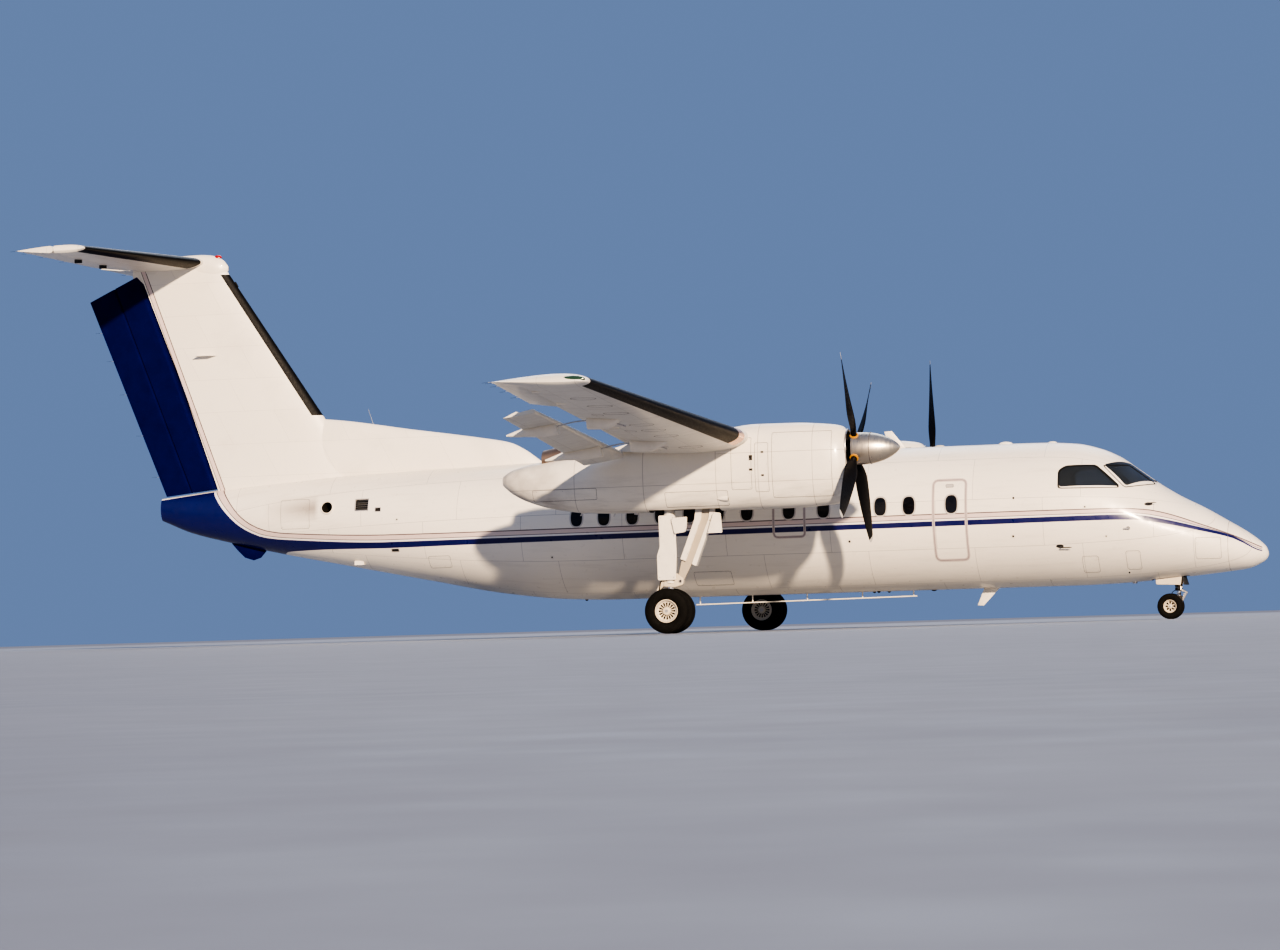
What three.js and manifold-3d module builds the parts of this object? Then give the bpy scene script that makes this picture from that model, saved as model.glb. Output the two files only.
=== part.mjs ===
// Twin-turboprop airliner with a high wing and a T-tail, standing on its landing gear with the flaps
// partly lowered.
// Millimetres. +X points to the nose, +Y to the left wing tip, +Z up. The origin is on the ground, halfway
// along.
// Stations are measured aft from the nose tip, and heights marked "axis" from the cabin's centre line.
import * as THREE from "three";
import { mergeVertices } from "three/addons/utils/BufferGeometryUtils.js";
import Module from "manifold-3d";

const wasm = await Module();
wasm.setup();

// Driving dimensions
const LENGTH = 22250;
const HALF_SPAN = 12955;
const AXIS_HEIGHT = 1950;
const CABIN_RADIUS = 1300;
const NACELLE_Y = 3935;
const TOUCH_GAP = 0.3;
const SIDES = 32;

// Fuselage joints, as stations
const RADOME_END = 670;
const COCKPIT_END = 3950;
const FORWARD_END = 7950;
const CENTRE_END = 12900;
const REAR_END = 19500;
const TAIL_END = 20870;
const REAR_WALL = 80;

// Cockpit
const COCKPIT_WALL = 60;
const COCKPIT_START = 1800;
const COCKPIT_FLOOR = -600;
const PANE_THICKNESS = 25;

// Passenger door on the left, hinged at its sill
const DOOR = { front: 4970, back: 5730, sill: -860, head: 790, wall: 80, edge: 8, hingeGap: 0.4 };
const LOBBY = { front: 4860, back: 5840, left: 1150, right: -250, roof: 1000 };

// Propellers
const PROP_STATION = 6665;
const PROP_AXIS = 1150;
const PROP_RADIUS = 1980;
const PROP_BLADES = 4;
const SPINNER_TIP = 5890;
const SPINNER_BASE = 6722;
const SPINNER_RADIUS = 280;
const HUB_RADIUS = 190;
const SHAFT_RADIUS = 60;
const SHAFT_SLACK = 0.8;
const SHAFT_SIDES = 24;

// Landing gear
const MAIN_STATION = 10050;
const MAIN_TYRE = { radius: 394, width: 248, rim: 205, spacing: 200 };
const NOSE_STATION = 1770;
const NOSE_TRAIL = 150;
const NOSE_TYRE = { radius: 229, width: 140, rim: 118, spacing: 125 };

// Tail
const TAILPLANE_HEIGHT = 5350;
const TAILPLANE_HALF = 3960;
const ELEVATOR_INNER = 170;
const CONTROL_GAP = 9;

const group = new THREE.Group();
const atStation = (station) => LENGTH / 2 - station;
const aboveAxis = (height) => AXIS_HEIGHT + height;
const point = (station, y, height) => new THREE.Vector3(atStation(station), y, aboveAxis(height));
const mix = (a, b, t) => a + (b - a) * t;

// Finishes: name: [colour, roughness, metalness]
const FINISH = {
  white: [0xe9e4da, 0.35, 0.1],
  blue: [0x1a2a78, 0.35, 0.1],
  glass: [0x1c2a30, 0.05, 0.2],
  metal: [0x9a948c, 0.35, 0.9],
  spinner: [0xb9a88c, 0.3, 0.9],
  blade: [0x15151a, 0.5, 0.1],
  tyre: [0x161515, 0.85, 0.0],
  rim: [0xd8cbb4, 0.45, 0.3],
  soot: [0x2a211c, 0.8, 0.4],
  trim: [0x3b3f45, 0.7, 0.0],
};

function finish(name) {
  const [color, roughness, metalness] = FINISH[name];
  return new THREE.MeshStandardMaterial({ color, roughness, metalness });
}

// Six times the volume inside a closed indexed mesh, negative when its faces point inwards
function signedVolume(positions, index) {
  const corner = (i) => new THREE.Vector3().fromArray(positions, 3 * i);
  let sum = 0;
  for (let t = 0; t < index.length; t += 3) {
    sum += corner(index[t]).dot(corner(index[t + 1]).cross(corner(index[t + 2])));
  }
  return sum;
}

// Turns a closed geometry into a solid that can be joined and cut
function solidOf(geometry) {
  const bare = geometry.clone();
  bare.deleteAttribute("normal");
  bare.deleteAttribute("uv");
  const merged = mergeVertices(bare, 0.001);
  const vertProperties = Float32Array.from(merged.attributes.position.array);
  const triVerts = Uint32Array.from(merged.index.array);
  if (signedVolume(vertProperties, triVerts) < 0) triVerts.reverse();
  return new wasm.Manifold(new wasm.Mesh({ numProp: 3, vertProperties, triVerts }));
}

function geometryOf(solid) {
  const mesh = solid.getMesh();
  const geometry = new THREE.BufferGeometry();
  geometry.setAttribute("position", new THREE.BufferAttribute(Float32Array.from(mesh.vertProperties), 3));
  geometry.setIndex(new THREE.BufferAttribute(Uint32Array.from(mesh.triVerts), 1));
  return geometry;
}

function add(name, solid, finishName) {
  const mesh = new THREE.Mesh(geometryOf(solid), finish(finishName));
  mesh.name = name;
  group.add(mesh);
}

function joined(solids) {
  return solids.reduce((whole, solid) => whole.add(solid));
}

// Mirrors a solid to the other side of the aircraft
function mirrored(solid) {
  return solid.mirror([0, 1, 0]);
}

function box(x0, x1, y0, y1, z0, z1) {
  const geometry = new THREE.BoxGeometry(Math.abs(x1 - x0), Math.abs(y1 - y0), Math.abs(z1 - z0));
  geometry.translate((x0 + x1) / 2, (y0 + y1) / 2, (z0 + z1) / 2);
  return solidOf(geometry);
}

// A box between two stations, with heights from the cabin axis
function stationBox(front, back, y0, y1, low, high) {
  return box(atStation(back), atStation(front), y0, y1, aboveAxis(low), aboveAxis(high));
}

// A round bar between two points, with a radius at each end
function bar(from, to, radius, endRadius = radius, sides = 16) {
  const along = new THREE.Vector3().subVectors(to, from);
  const geometry = new THREE.CylinderGeometry(endRadius, radius, along.length(), sides);
  const turn = new THREE.Quaternion().setFromUnitVectors(new THREE.Vector3(0, 1, 0),
    along.clone().normalize());
  geometry.applyQuaternion(turn);
  geometry.translate((from.x + to.x) / 2, (from.y + to.y) / 2, (from.z + to.z) / 2);
  return solidOf(geometry);
}

// Triangles that close one end ring
function capFaces(ring, first, outward) {
  const normal = new THREE.Vector3();
  ring.forEach((p, i) => {
    const q = ring[(i + 1) % ring.length];
    normal.x += (p.y - q.y) * (p.z + q.z);
    normal.y += (p.z - q.z) * (p.x + q.x);
    normal.z += (p.x - q.x) * (p.y + q.y);
  });
  const size = [Math.abs(normal.x), Math.abs(normal.y), Math.abs(normal.z)];
  const drop = size.indexOf(Math.max(...size));
  const flat = ring.map((p) => {
    const kept = [p.x, p.y, p.z].filter((value, axis) => axis !== drop);
    return new THREE.Vector2(kept[0], kept[1]);
  });
  const a = new THREE.Vector3();
  const b = new THREE.Vector3();
  return THREE.ShapeUtils.triangulateShape(flat, []).flatMap(([i, j, k]) => {
    a.subVectors(ring[j], ring[i]);
    b.subVectors(ring[k], ring[i]);
    const same = a.cross(b).dot(normal) > 0;
    return same === outward ? [first + i, first + j, first + k] : [first + i, first + k, first + j];
  });
}

// A closed body through rings that have the same number of points
function loft(rings) {
  const count = rings[0].length;
  const positions = rings.flat().flatMap((p) => [p.x, p.y, p.z]);
  const index = [];
  for (let r = 0; r < rings.length - 1; r += 1) {
    for (let k = 0; k < count; k += 1) {
      const a = r * count + k;
      const b = r * count + ((k + 1) % count);
      index.push(a, b, a + count, b, b + count, a + count);
    }
  }
  index.push(...capFaces(rings[0], 0, false));
  index.push(...capFaces(rings[rings.length - 1], (rings.length - 1) * count, true));
  const geometry = new THREE.BufferGeometry();
  geometry.setAttribute("position", new THREE.Float32BufferAttribute(positions, 3));
  geometry.setIndex(index);
  return solidOf(geometry);
}

// A rounded cross-section across the aircraft; power 2 is an ellipse and more is squarer
function crossRing(station, y, top, bottom, halfWidth, power = 2, sides = SIDES, grow = 0) {
  const middle = (top + bottom) / 2;
  const halfHeight = (top - bottom) / 2 + grow;
  return Array.from({ length: sides }, (unused, k) => {
    const angle = (2 * Math.PI * k) / sides;
    const c = Math.cos(angle);
    const s = Math.sin(angle);
    const across = Math.sign(c) * Math.abs(c) ** (2 / power) * (halfWidth + grow);
    const high = Math.sign(s) * Math.abs(s) ** (2 / power) * halfHeight;
    return point(station, y + across, middle + high);
  });
}

// Fuselage cross-sections: [station, top, bottom, half width], heights from the cabin axis
const FUSELAGE = [
  [0, -800, -860, 40],
  [40, -705, -930, 120],
  [140, -600, -1000, 230],
  [360, -430, -1085, 400],
  [RADOME_END, -235, -1125, 560],
  [1110, 30, -1170, 750],
  [1490, 230, -1205, 870],
  [1850, 455, -1235, 970],
  [2230, 735, -1260, 1070],
  [2600, 1000, -1280, 1145],
  [2980, 1165, -1292, 1205],
  [3360, 1255, -1300, 1255],
  [COCKPIT_END, 1295, -1300, 1295],
  [4400, CABIN_RADIUS, -CABIN_RADIUS, CABIN_RADIUS],
  [FORWARD_END, CABIN_RADIUS, -CABIN_RADIUS, CABIN_RADIUS],
  [12000, CABIN_RADIUS, -1298, CABIN_RADIUS],
  [CENTRE_END, 1298, -1265, 1290],
  [14050, 1280, -1135, 1225],
  [15560, 1240, -840, 1075],
  [17060, 1195, -535, 850],
  [18570, 1110, -225, 590],
  [REAR_END, 1030, -5, 410],
  [20280, 945, 205, 265],
  [TAIL_END, 880, 455, 130],
];

// The stretch of the fuselage between two stations of its table, grown or shrunk all round
function fuselage(front, back, grow = 0) {
  const rows = FUSELAGE.filter(([station]) => station >= front && station <= back);
  return loft(rows.map(([station, top, bottom, half]) => crossRing(station, 0, top, bottom, half, 2, SIDES,
    grow)));
}

// Any lifting surface: the section's frame is interpolated between its two ends
// end: [station of leading edge, y, height, chord, thickness ratio, twist in degrees, hinge as a share of
// the chord]
function sectionOf(surface, t) {
  const [station, y, height, chord, thick, twist, hinge] = surface.root.map((value, i) => mix(value,
    surface.tip[i], t));
  return { station, y, height, chord, thick, twist: THREE.MathUtils.degToRad(twist), hinge,
    upright: surface.upright };
}

// A point of a section: aft as a share of the chord, and off its chord line as a share of the chord
function onSection(section, aft, off) {
  if (section.upright) {
    return point(section.station + aft * section.chord, off * section.chord, section.height);
  }
  const along = aft * Math.cos(section.twist) + off * Math.sin(section.twist);
  const high = off * Math.cos(section.twist) - aft * Math.sin(section.twist);
  return point(section.station + along * section.chord, section.y, section.height + high * section.chord);
}

// Half thickness of the standard symmetrical aerofoil
function foil(thick, aft) {
  const x = Math.min(Math.max(aft, 0), 1);
  const shape = 0.2969 * Math.sqrt(x) - 0.126 * x - 0.3516 * x ** 2 + 0.2843 * x ** 3 - 0.1015 * x ** 4;
  return 5 * thick * shape;
}

const UPPER_SHARE = 1.12;
const LOWER_SHARE = 0.88;
const FOIL_STEPS = 10;

// Outline of a whole aerofoil, or of its front part up to the share "end"
function foilOutline(section, end = 1, camber = true) {
  const upper = camber ? UPPER_SHARE : 1;
  const lower = camber ? LOWER_SHARE : 1;
  const steps = Array.from({ length: FOIL_STEPS + 1 },
    (unused, i) => end * (1 - Math.cos((Math.PI * i) / (2 * FOIL_STEPS))));
  const top = steps.slice().reverse().map((x) => onSection(section, x, upper * foil(section.thick, x)));
  const bottom = steps.slice(1).map((x) => onSection(section, x, -lower * foil(section.thick, x)));
  return top.concat(bottom);
}

// A hinged surface: a round nose about its hinge line, and the aerofoil's tail behind it
function hingedOutline(section, camber = true) {
  const upper = camber ? UPPER_SHARE : 1;
  const lower = camber ? LOWER_SHARE : 1;
  const h = section.hinge;
  const radius = foil(section.thick, h) * Math.min(upper, lower);
  const middle = (foil(section.thick, h) * (upper - lower)) / 2;
  const nose = Array.from({ length: 9 }, (unused, i) => {
    const angle = Math.PI / 2 + (Math.PI * i) / 8;
    return onSection(section, h + radius * Math.cos(angle), middle + radius * Math.sin(angle));
  });
  const tail = [0.35, 0.7, 0.97].map((share) => mix(h, 1, share));
  const top = tail.slice().reverse().map((x) => onSection(section, x, upper * foil(section.thick, x)));
  const bottom = tail.map((x) => onSection(section, x, -lower * foil(section.thick, x)));
  const edge = onSection(section, 1, 0);
  return [edge].concat(top, nose, bottom);
}

// Where the fixed surface ends in front of a hinged one, as a share of the chord
function bayEdge(section) {
  return section.hinge - foil(section.thick, section.hinge) - CONTROL_GAP / section.chord;
}

// Wing
const WING_ROOT = [8470, -4440, 1400, 2470, 0.18, 3, 0.76];
const WING = {
  root: WING_ROOT,
  tip: [9110, -12720, 1960, 1560, 0.14, -1.5, 0.74],
};
const WING_CENTRE = { root: WING_ROOT, tip: WING_ROOT.map((value, i) => (i === 1 ? 4440 : value)) };
const WING_TIP_CAP = [
  // [y, chord share kept, thickness share kept]
  [12850, 0.985, 0.8],
  [12925, 0.93, 0.5],
  [HALF_SPAN, 0.84, 0.2],
];
const wingShare = (y) => (y + WING.root[1]) / (WING.root[1] - WING.tip[1]);
const wingAt = (y) => sectionOf(WING, wingShare(y));

const AILERON = { inner: 10330, outer: 12560 };
const FLAP_OUTER = { inner: 4500, outer: 10230 };
const FLAP_INNER = { inner: 1420, outer: 3370 };
const SIDE_GAP = 12;
const COVE = 0.69;
const SHROUD_END = 0.86;
const FLAP_NOSE = 0.705;
const FLAP_STEP = 0.845;
const FLAP_DROOP = 15;
const FLAP_ARM = { ahead: 50, below: 1850 };

// The wing's inner section is straight, so its frame only slides sideways
function centreAt(y) {
  const section = sectionOf(WING_CENTRE, 0);
  section.y = -y;
  return section;
}

// The flap's top, kept under the wing's upper skin while it slides out
function flapTop(section, x) {
  const skin = UPPER_SHARE * foil(section.thick, x);
  const cover = x > FLAP_STEP ? 0.004 : mix(0.052, 0.024, (x - FLAP_NOSE) / (FLAP_STEP - FLAP_NOSE));
  return skin - cover;
}

function flapOutline(section) {
  const top = [0.98, 0.94, 0.9, 0.87, FLAP_STEP, 0.8, 0.76, 0.73].map((x) => onSection(section, x,
    flapTop(section, x)));
  const bottom = [0.725, 0.75, 0.8, 0.86, 0.92, 0.97].map((x) => onSection(section, x,
    -LOWER_SHARE * foil(section.thick, x) + 0.001));
  const nose = [
    onSection(section, 0.712, mix(flapTop(section, 0.712), -LOWER_SHARE * foil(section.thick, 0.712), 0.3)),
    onSection(section, FLAP_NOSE, mix(flapTop(section, 0.712), -LOWER_SHARE * foil(section.thick, 0.712),
      0.55)),
    onSection(section, 0.71, mix(flapTop(section, 0.712), -LOWER_SHARE * foil(section.thick, 0.712), 0.85)),
  ];
  return [onSection(section, 1, 0)].concat(top, nose, bottom);
}

// The space that a flap's bay takes out of the wing: all of it behind the shroud, and under the shroud
// further forward
function bayOutline(section) {
  const under = (x) => UPPER_SHARE * foil(section.thick, x) - mix(0.03, 0.006,
    (x - COVE) / (SHROUD_END - COVE));
  return [
    onSection(section, 1.1, 0.2),
    onSection(section, SHROUD_END, 0.2),
    onSection(section, SHROUD_END, under(SHROUD_END)),
    onSection(section, mix(COVE, SHROUD_END, 0.5), under(mix(COVE, SHROUD_END, 0.5))),
    onSection(section, COVE, under(COVE)),
    onSection(section, COVE, -0.2),
    onSection(section, 1.1, -0.2),
  ];
}

// The flap's hinge axis lies in the air below the wing, so the flap slides aft and down as its tracks
// would carry it
function flapAxis(inner, outer) {
  const nose = [inner, outer].map((section) => onSection(section, FLAP_NOSE, 0));
  const through = nose[0].clone().add(new THREE.Vector3(FLAP_ARM.ahead, 0, -FLAP_ARM.below));
  return { through, direction: nose[1].clone().sub(nose[0]).normalize() };
}

// Turns a geometry-free solid about an axis in space, in degrees by the right-hand rule
function turned(solid, through, direction, degrees) {
  const matrix = new THREE.Matrix4().makeTranslation(through.x, through.y, through.z);
  matrix.multiply(new THREE.Matrix4().makeRotationAxis(direction, THREE.MathUtils.degToRad(degrees)));
  matrix.multiply(new THREE.Matrix4().makeTranslation(-through.x, -through.y, -through.z));
  return solid.transform(matrix.elements);
}

// Hinge lugs: each stands on the fixed surface, in a notch of the moving one
const LUG = { half: 6, radius: 14, thick: 8, root: 25, slack: 0.3, notch: 20, shares: [0.15, 0.85] };

// A small solid set on a hinge line: x runs ahead of the line and y along it
function onHinge(solid, at, along) {
  const up = new THREE.Vector3(1, 0, 0).cross(along).normalize();
  const front = along.clone().cross(up);
  const matrix = new THREE.Matrix4().makeBasis(front, along, up).setPosition(at);
  return solid.transform(matrix.elements);
}

function lugSet(inner, outer) {
  const ends = [inner, outer].map((section) => onSection(section, section.hinge, 0));
  const along = ends[1].clone().sub(ends[0]).normalize();
  const noses = [inner, outer].map((section) => foil(section.thick, section.hinge) * section.chord);
  const at = (share) => ends[0].clone().lerp(ends[1], share);
  const lugs = LUG.shares.map((share) => {
    const reach = mix(noses[0], noses[1], share) + CONTROL_GAP + LUG.root;
    const eye = bar(new THREE.Vector3(0, -LUG.half, 0), new THREE.Vector3(0, LUG.half, 0), LUG.radius,
      LUG.radius, 12);
    return onHinge(eye.add(box(0, reach, -LUG.half, LUG.half, -LUG.thick, LUG.thick)), at(share), along);
  });
  const wide = LUG.half + LUG.slack;
  const notches = LUG.shares.map((share) => onHinge(box(-LUG.notch, 200, -wide, wide, -200, 200),
    at(share), along));
  return { lugs: joined(lugs), notches: joined(notches) };
}

// Curved arms that carry each flap: they slide in slots of the fixed fairings, about the flap's own axis
const TRACK = { drop: 25, thick: 22, half: 9, front: -38.5, back: 4, steps: 9, slack: 3, side: 0.3 };

function trackArm(section, axis, slack = 0, side = 0) {
  const nose = onSection(section, FLAP_NOSE, -LOWER_SHARE * foil(section.thick, FLAP_NOSE)).sub(axis.through);
  const along = nose.dot(axis.direction);
  const up = nose.clone().addScaledVector(axis.direction, -along);
  const outer = up.length() - TRACK.drop + slack;
  const inner = up.length() - TRACK.drop - TRACK.thick - slack;
  up.normalize();
  const aft = axis.direction.clone().cross(up);
  const half = TRACK.half + side;
  return loft(Array.from({ length: TRACK.steps + 1 }, (_, i) => {
    const turn = THREE.MathUtils.degToRad(mix(TRACK.front - slack / 6, TRACK.back, i / TRACK.steps));
    const ray = up.clone().multiplyScalar(Math.cos(turn)).addScaledVector(aft, Math.sin(turn));
    return [[inner, -half], [outer, -half], [outer, half], [inner, half]].map(([radius, across]) => (
      axis.through.clone().addScaledVector(ray, radius).addScaledVector(axis.direction, along + across)
    ));
  }));
}

// Flap fairings under the wing, by distance from the centre line
const OUTER_FAIRINGS = [6010, 8860];
const INNER_FAIRINGS = [2400];
// [share of chord, depth below the wing, half width]
const FIXED_FAIRING = [
  [0.4, 6, 20],
  [0.45, 95, 62],
  [0.54, 160, 85],
  [0.683, 178, 90],
];
const MOVING_FAIRING = [
  [0.722, 178, 90],
  [0.82, 170, 88],
  [0.94, 140, 75],
  [1.06, 85, 55],
  [1.15, 20, 22],
];

function canoe(section, rows) {
  return loft(rows.map(([share, depth, half]) => {
    const roof = share < 0.9 ? 45 : mix(45, 12, (share - 0.9) / 0.25);
    const skin = onSection(section, share, -LOWER_SHARE * foil(section.thick, share));
    const top = skin.z - AXIS_HEIGHT + roof;
    const bottom = skin.z - AXIS_HEIGHT - depth;
    return crossRing(LENGTH / 2 - skin.x, skin.y, top, bottom, half, 2.2, 14);
  }));
}

// A wing panel as a plain solid, grown slightly where a neighbour is cut to fit round it
function wingPanel(sections, grow = 0) {
  return loft(sections.map((section) => {
    const wider = { ...section };
    wider.station -= grow;
    wider.chord += 2 * grow;
    wider.thick += (2 * grow) / section.chord;
    return foilOutline(wider);
  }));
}

function bay(inner, outer) {
  return loft([bayOutline(inner), bayOutline(outer)]);
}

function flap(inner, outer, fairings, axis) {
  const body = joined([loft([flapOutline(inner), flapOutline(outer)])].concat(fairings));
  return turned(body, axis.through, axis.direction, FLAP_DROOP);
}

// Right outer wing, from the nacelle to the rounded tip
const capSections = WING_TIP_CAP.map(([y, chordKept, thickKept]) => {
  const section = sectionOf(WING, 1);
  const lost = section.chord * (1 - chordKept);
  return { ...section, y: -y, station: section.station + lost * 0.6, chord: section.chord - lost,
    thick: section.thick * thickKept };
});
const outerSections = [sectionOf(WING, 0), wingAt(AILERON.inner), sectionOf(WING, 1)].concat(capSections);
const outerFlapBay = bay(wingAt(FLAP_OUTER.inner - 100), wingAt(FLAP_OUTER.outer + SIDE_GAP));
const aileronBay = loft([AILERON.inner - SIDE_GAP, AILERON.outer + SIDE_GAP].map((y) => {
  const section = wingAt(y);
  const edge = bayEdge(section);
  return [[edge, 0.2], [1.1, 0.2], [1.1, -0.2], [edge, -0.2]].map(([aft, off]) => onSection(section, aft,
    off));
}));
const outerFlapAxis = flapAxis(wingAt(FLAP_OUTER.inner), wingAt(FLAP_OUTER.outer));
const aileronLugs = lugSet(wingAt(AILERON.inner), wingAt(AILERON.outer));
const outerWing = wingPanel(outerSections)
  .add(joined(OUTER_FAIRINGS.map((y) => canoe(wingAt(y), FIXED_FAIRING))))
  .subtract(outerFlapBay)
  .subtract(aileronBay)
  .subtract(joined(OUTER_FAIRINGS.map((y) => trackArm(wingAt(y), outerFlapAxis, TRACK.slack, TRACK.side))))
  .add(aileronLugs.lugs)
  .trimByPlane([0, -1, 0], -WING.root[1] + TOUCH_GAP);
const aileron = loft([AILERON.inner,
  AILERON.outer].map((y) => hingedOutline(wingAt(y)))).subtract(aileronLugs.notches);
const outerFlap = flap(
  wingAt(FLAP_OUTER.inner), wingAt(FLAP_OUTER.outer),
  OUTER_FAIRINGS.flatMap((y) => [canoe(wingAt(y), MOVING_FAIRING), trackArm(wingAt(y),
    outerFlapAxis)]), outerFlapAxis,
);
const innerFlapAxis = flapAxis(centreAt(FLAP_INNER.inner), centreAt(FLAP_INNER.outer));
const innerFlap = flap(
  centreAt(FLAP_INNER.inner), centreAt(FLAP_INNER.outer),
  INNER_FAIRINGS.flatMap((y) => [canoe(centreAt(y), MOVING_FAIRING), trackArm(centreAt(y),
    innerFlapAxis)]), innerFlapAxis,
);

// Straight centre wing over the cabin, with an inner flap bay on each side
const centreEnds = [sectionOf(WING_CENTRE, 0), sectionOf(WING_CENTRE, 1)];
const innerBay = bay(centreAt(FLAP_INNER.inner - SIDE_GAP), centreAt(FLAP_INNER.outer + SIDE_GAP));
const innerSlots = joined(INNER_FAIRINGS.map((y) => trackArm(centreAt(y), innerFlapAxis, TRACK.slack,
  TRACK.side)));
const innerFairing = joined(INNER_FAIRINGS.map((y) => canoe(centreAt(y), FIXED_FAIRING)));
const centreWing = wingPanel(centreEnds)
  .add(innerFairing)
  .add(mirrored(innerFairing))
  .subtract(innerBay)
  .subtract(mirrored(innerBay))
  .subtract(innerSlots)
  .subtract(mirrored(innerSlots));
const grownCentreWing = wingPanel(centreEnds.map((section) => ({ ...section, y: section.y * 1.2 })),
  TOUCH_GAP);

add("wing_centre", centreWing, "white");
for (const [side, place] of [["right", (solid) => solid], ["left", mirrored]]) {
  add(`wing_outer_${side}`, place(outerWing), "white");
  add(`aileron_${side}`, place(aileron), "white");
  add(`flap_outer_${side}`, place(outerFlap), "white");
  add(`flap_inner_${side}`, place(innerFlap), "white");
}

// Nacelles: [station, top, bottom, half width, squareness]
const NACELLE = [
  [6800, 1475, 330, 345, 2.2],
  [6870, 1540, 262, 400, 2.3],
  [7000, 1580, 215, 445, 2.4],
  [7270, 1612, 188, 480, 2.5],
  [7700, 1640, 165, 500, 2.6],
  [8410, 1645, 160, 505, 2.6],
  [9100, 1560, 162, 505, 2.6],
  [10200, 1420, 166, 500, 2.6],
  [10900, 1330, 175, 485, 2.5],
  [11500, 1240, 200, 450, 2.4],
  [12050, 1160, 280, 395, 2.3],
  [12550, 1075, 430, 310, 2.2],
  [12850, 990, 590, 205, 2.1],
  [13000, 900, 720, 85, 2],
];
const ENGINE = { front: 6990, back: 8400, radius: 320 };
const INTAKE = [
  [6700, 760, 395, 190, 2.6],
  [7300, 700, 450, 120, 2.4],
];
// Flat jacking discs: under each nacelle and under the nose
const JACK_PAD = { radius: 45, nacelleStation: 10600, nacelleFace: 145, noseStation: 2400, noseFace: -1295 };
const GEAR_BAY = { front: 9060, back: 10330, half: 235, roof: 560 };
// [station, top, bottom, half width]
const EXHAUST = [
  [10950, 1330, 1000, 120],
  [11300, 1400, 1000, 190],
  [11800, 1400, 1010, 210],
  [12250, 1330, 1010, 200],
];
const EXHAUST_WALL = 14;
const NACELLE_SIDES = 24;
const BLADE_SIDES = 8;

function crossLoft(rows, y, sides = SIDES, grow = 0) {
  return loft(rows.map(([station, top, bottom, half, power = 2]) => crossRing(station, y, top, bottom,
    half, power, sides, grow)));
}

const propCentre = point(PROP_STATION, -NACELLE_Y, PROP_AXIS);
const onPropAxis = (station) => point(station, -NACELLE_Y, PROP_AXIS);
const engineHole = bar(onPropAxis(6700), onPropAxis(ENGINE.back), ENGINE.radius, ENGINE.radius, 24);
const gearHole = stationBox(
  GEAR_BAY.front, GEAR_BAY.back, -NACELLE_Y - GEAR_BAY.half, -NACELLE_Y + GEAR_BAY.half, -200, GEAR_BAY.roof,
);
const nacelleBody = crossLoft(NACELLE, -NACELLE_Y, NACELLE_SIDES);
const nacelle = nacelleBody
  .subtract(engineHole)
  .subtract(crossLoft(INTAKE, -NACELLE_Y, 20))
  .subtract(gearHole)
  .add(bar(point(JACK_PAD.nacelleStation, -NACELLE_Y, 300), point(JACK_PAD.nacelleStation, -NACELLE_Y,
    JACK_PAD.nacelleFace), JACK_PAD.radius))
  .subtract(grownCentreWing)
  .subtract(wingPanel(outerSections, TOUCH_GAP * 2));
const engine = bar(onPropAxis(ENGINE.front), onPropAxis(ENGINE.back - TOUCH_GAP),
  ENGINE.radius - TOUCH_GAP, ENGINE.radius - TOUCH_GAP, 24)
  .add(bar(onPropAxis(ENGINE.front + 20), onPropAxis(PROP_STATION - 70), SHAFT_RADIUS, SHAFT_RADIUS,
    SHAFT_SIDES));
const exhaustBore = EXHAUST.slice(2).map(([station, top, bottom, half]) => [station, top - EXHAUST_WALL,
  bottom + EXHAUST_WALL, half - EXHAUST_WALL]);
exhaustBore[1][0] += 5;
const exhaust = crossLoft(EXHAUST, -NACELLE_Y, 20)
  .subtract(crossLoft(exhaustBore, -NACELLE_Y, 20))
  .subtract(crossLoft(NACELLE, -NACELLE_Y, NACELLE_SIDES, TOUCH_GAP))
  .subtract(grownCentreWing);

// Propeller blade: [radius, chord, thickness, pitch in degrees from the plane of rotation]
const BLADE = [
  [120, 108, 108, 46],
  [330, 116, 96, 45],
  [470, 200, 56, 42],
  [700, 285, 38, 37],
  [1100, 305, 26, 26],
  [1500, 270, 17, 19],
  [1800, 205, 11, 15],
  [1950, 140, 8, 13],
  [PROP_RADIUS, 80, 6, 13],
];
const RIGHT_PROP_LEAN = 37;
const LEFT_PROP_LEAN = 0;

function blade(centre, lean) {
  const angle = THREE.MathUtils.degToRad(lean);
  const out = new THREE.Vector3(0, -Math.sin(angle), Math.cos(angle));
  const forward = new THREE.Vector3(1, 0, 0);
  const turning = new THREE.Vector3().crossVectors(forward, out);
  return loft(BLADE.map(([radius, chord, thickness, pitch]) => {
    const tilt = THREE.MathUtils.degToRad(pitch);
    const along = turning.clone().multiplyScalar(Math.cos(tilt)).addScaledVector(forward, Math.sin(tilt));
    const face = forward.clone().multiplyScalar(Math.cos(tilt)).addScaledVector(turning, -Math.sin(tilt));
    return Array.from({ length: BLADE_SIDES }, (unused, k) => {
      const turn = (2 * Math.PI * k) / BLADE_SIDES;
      return centre.clone()
        .addScaledVector(out, radius)
        .addScaledVector(along, (Math.cos(turn) * chord) / 2)
        .addScaledVector(face, (Math.sin(turn) * thickness) / 2);
    });
  }));
}

// Turns a lathe about +X, with its profile given as [radius, station] pairs
function latheX(profile, y, height, segments = 24) {
  const points = profile.map(([radius, station]) => new THREE.Vector2(radius, atStation(station)));
  const geometry = new THREE.LatheGeometry(points, segments);
  geometry.rotateZ(-Math.PI / 2);
  geometry.translate(0, y, aboveAxis(height));
  return solidOf(geometry);
}

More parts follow.
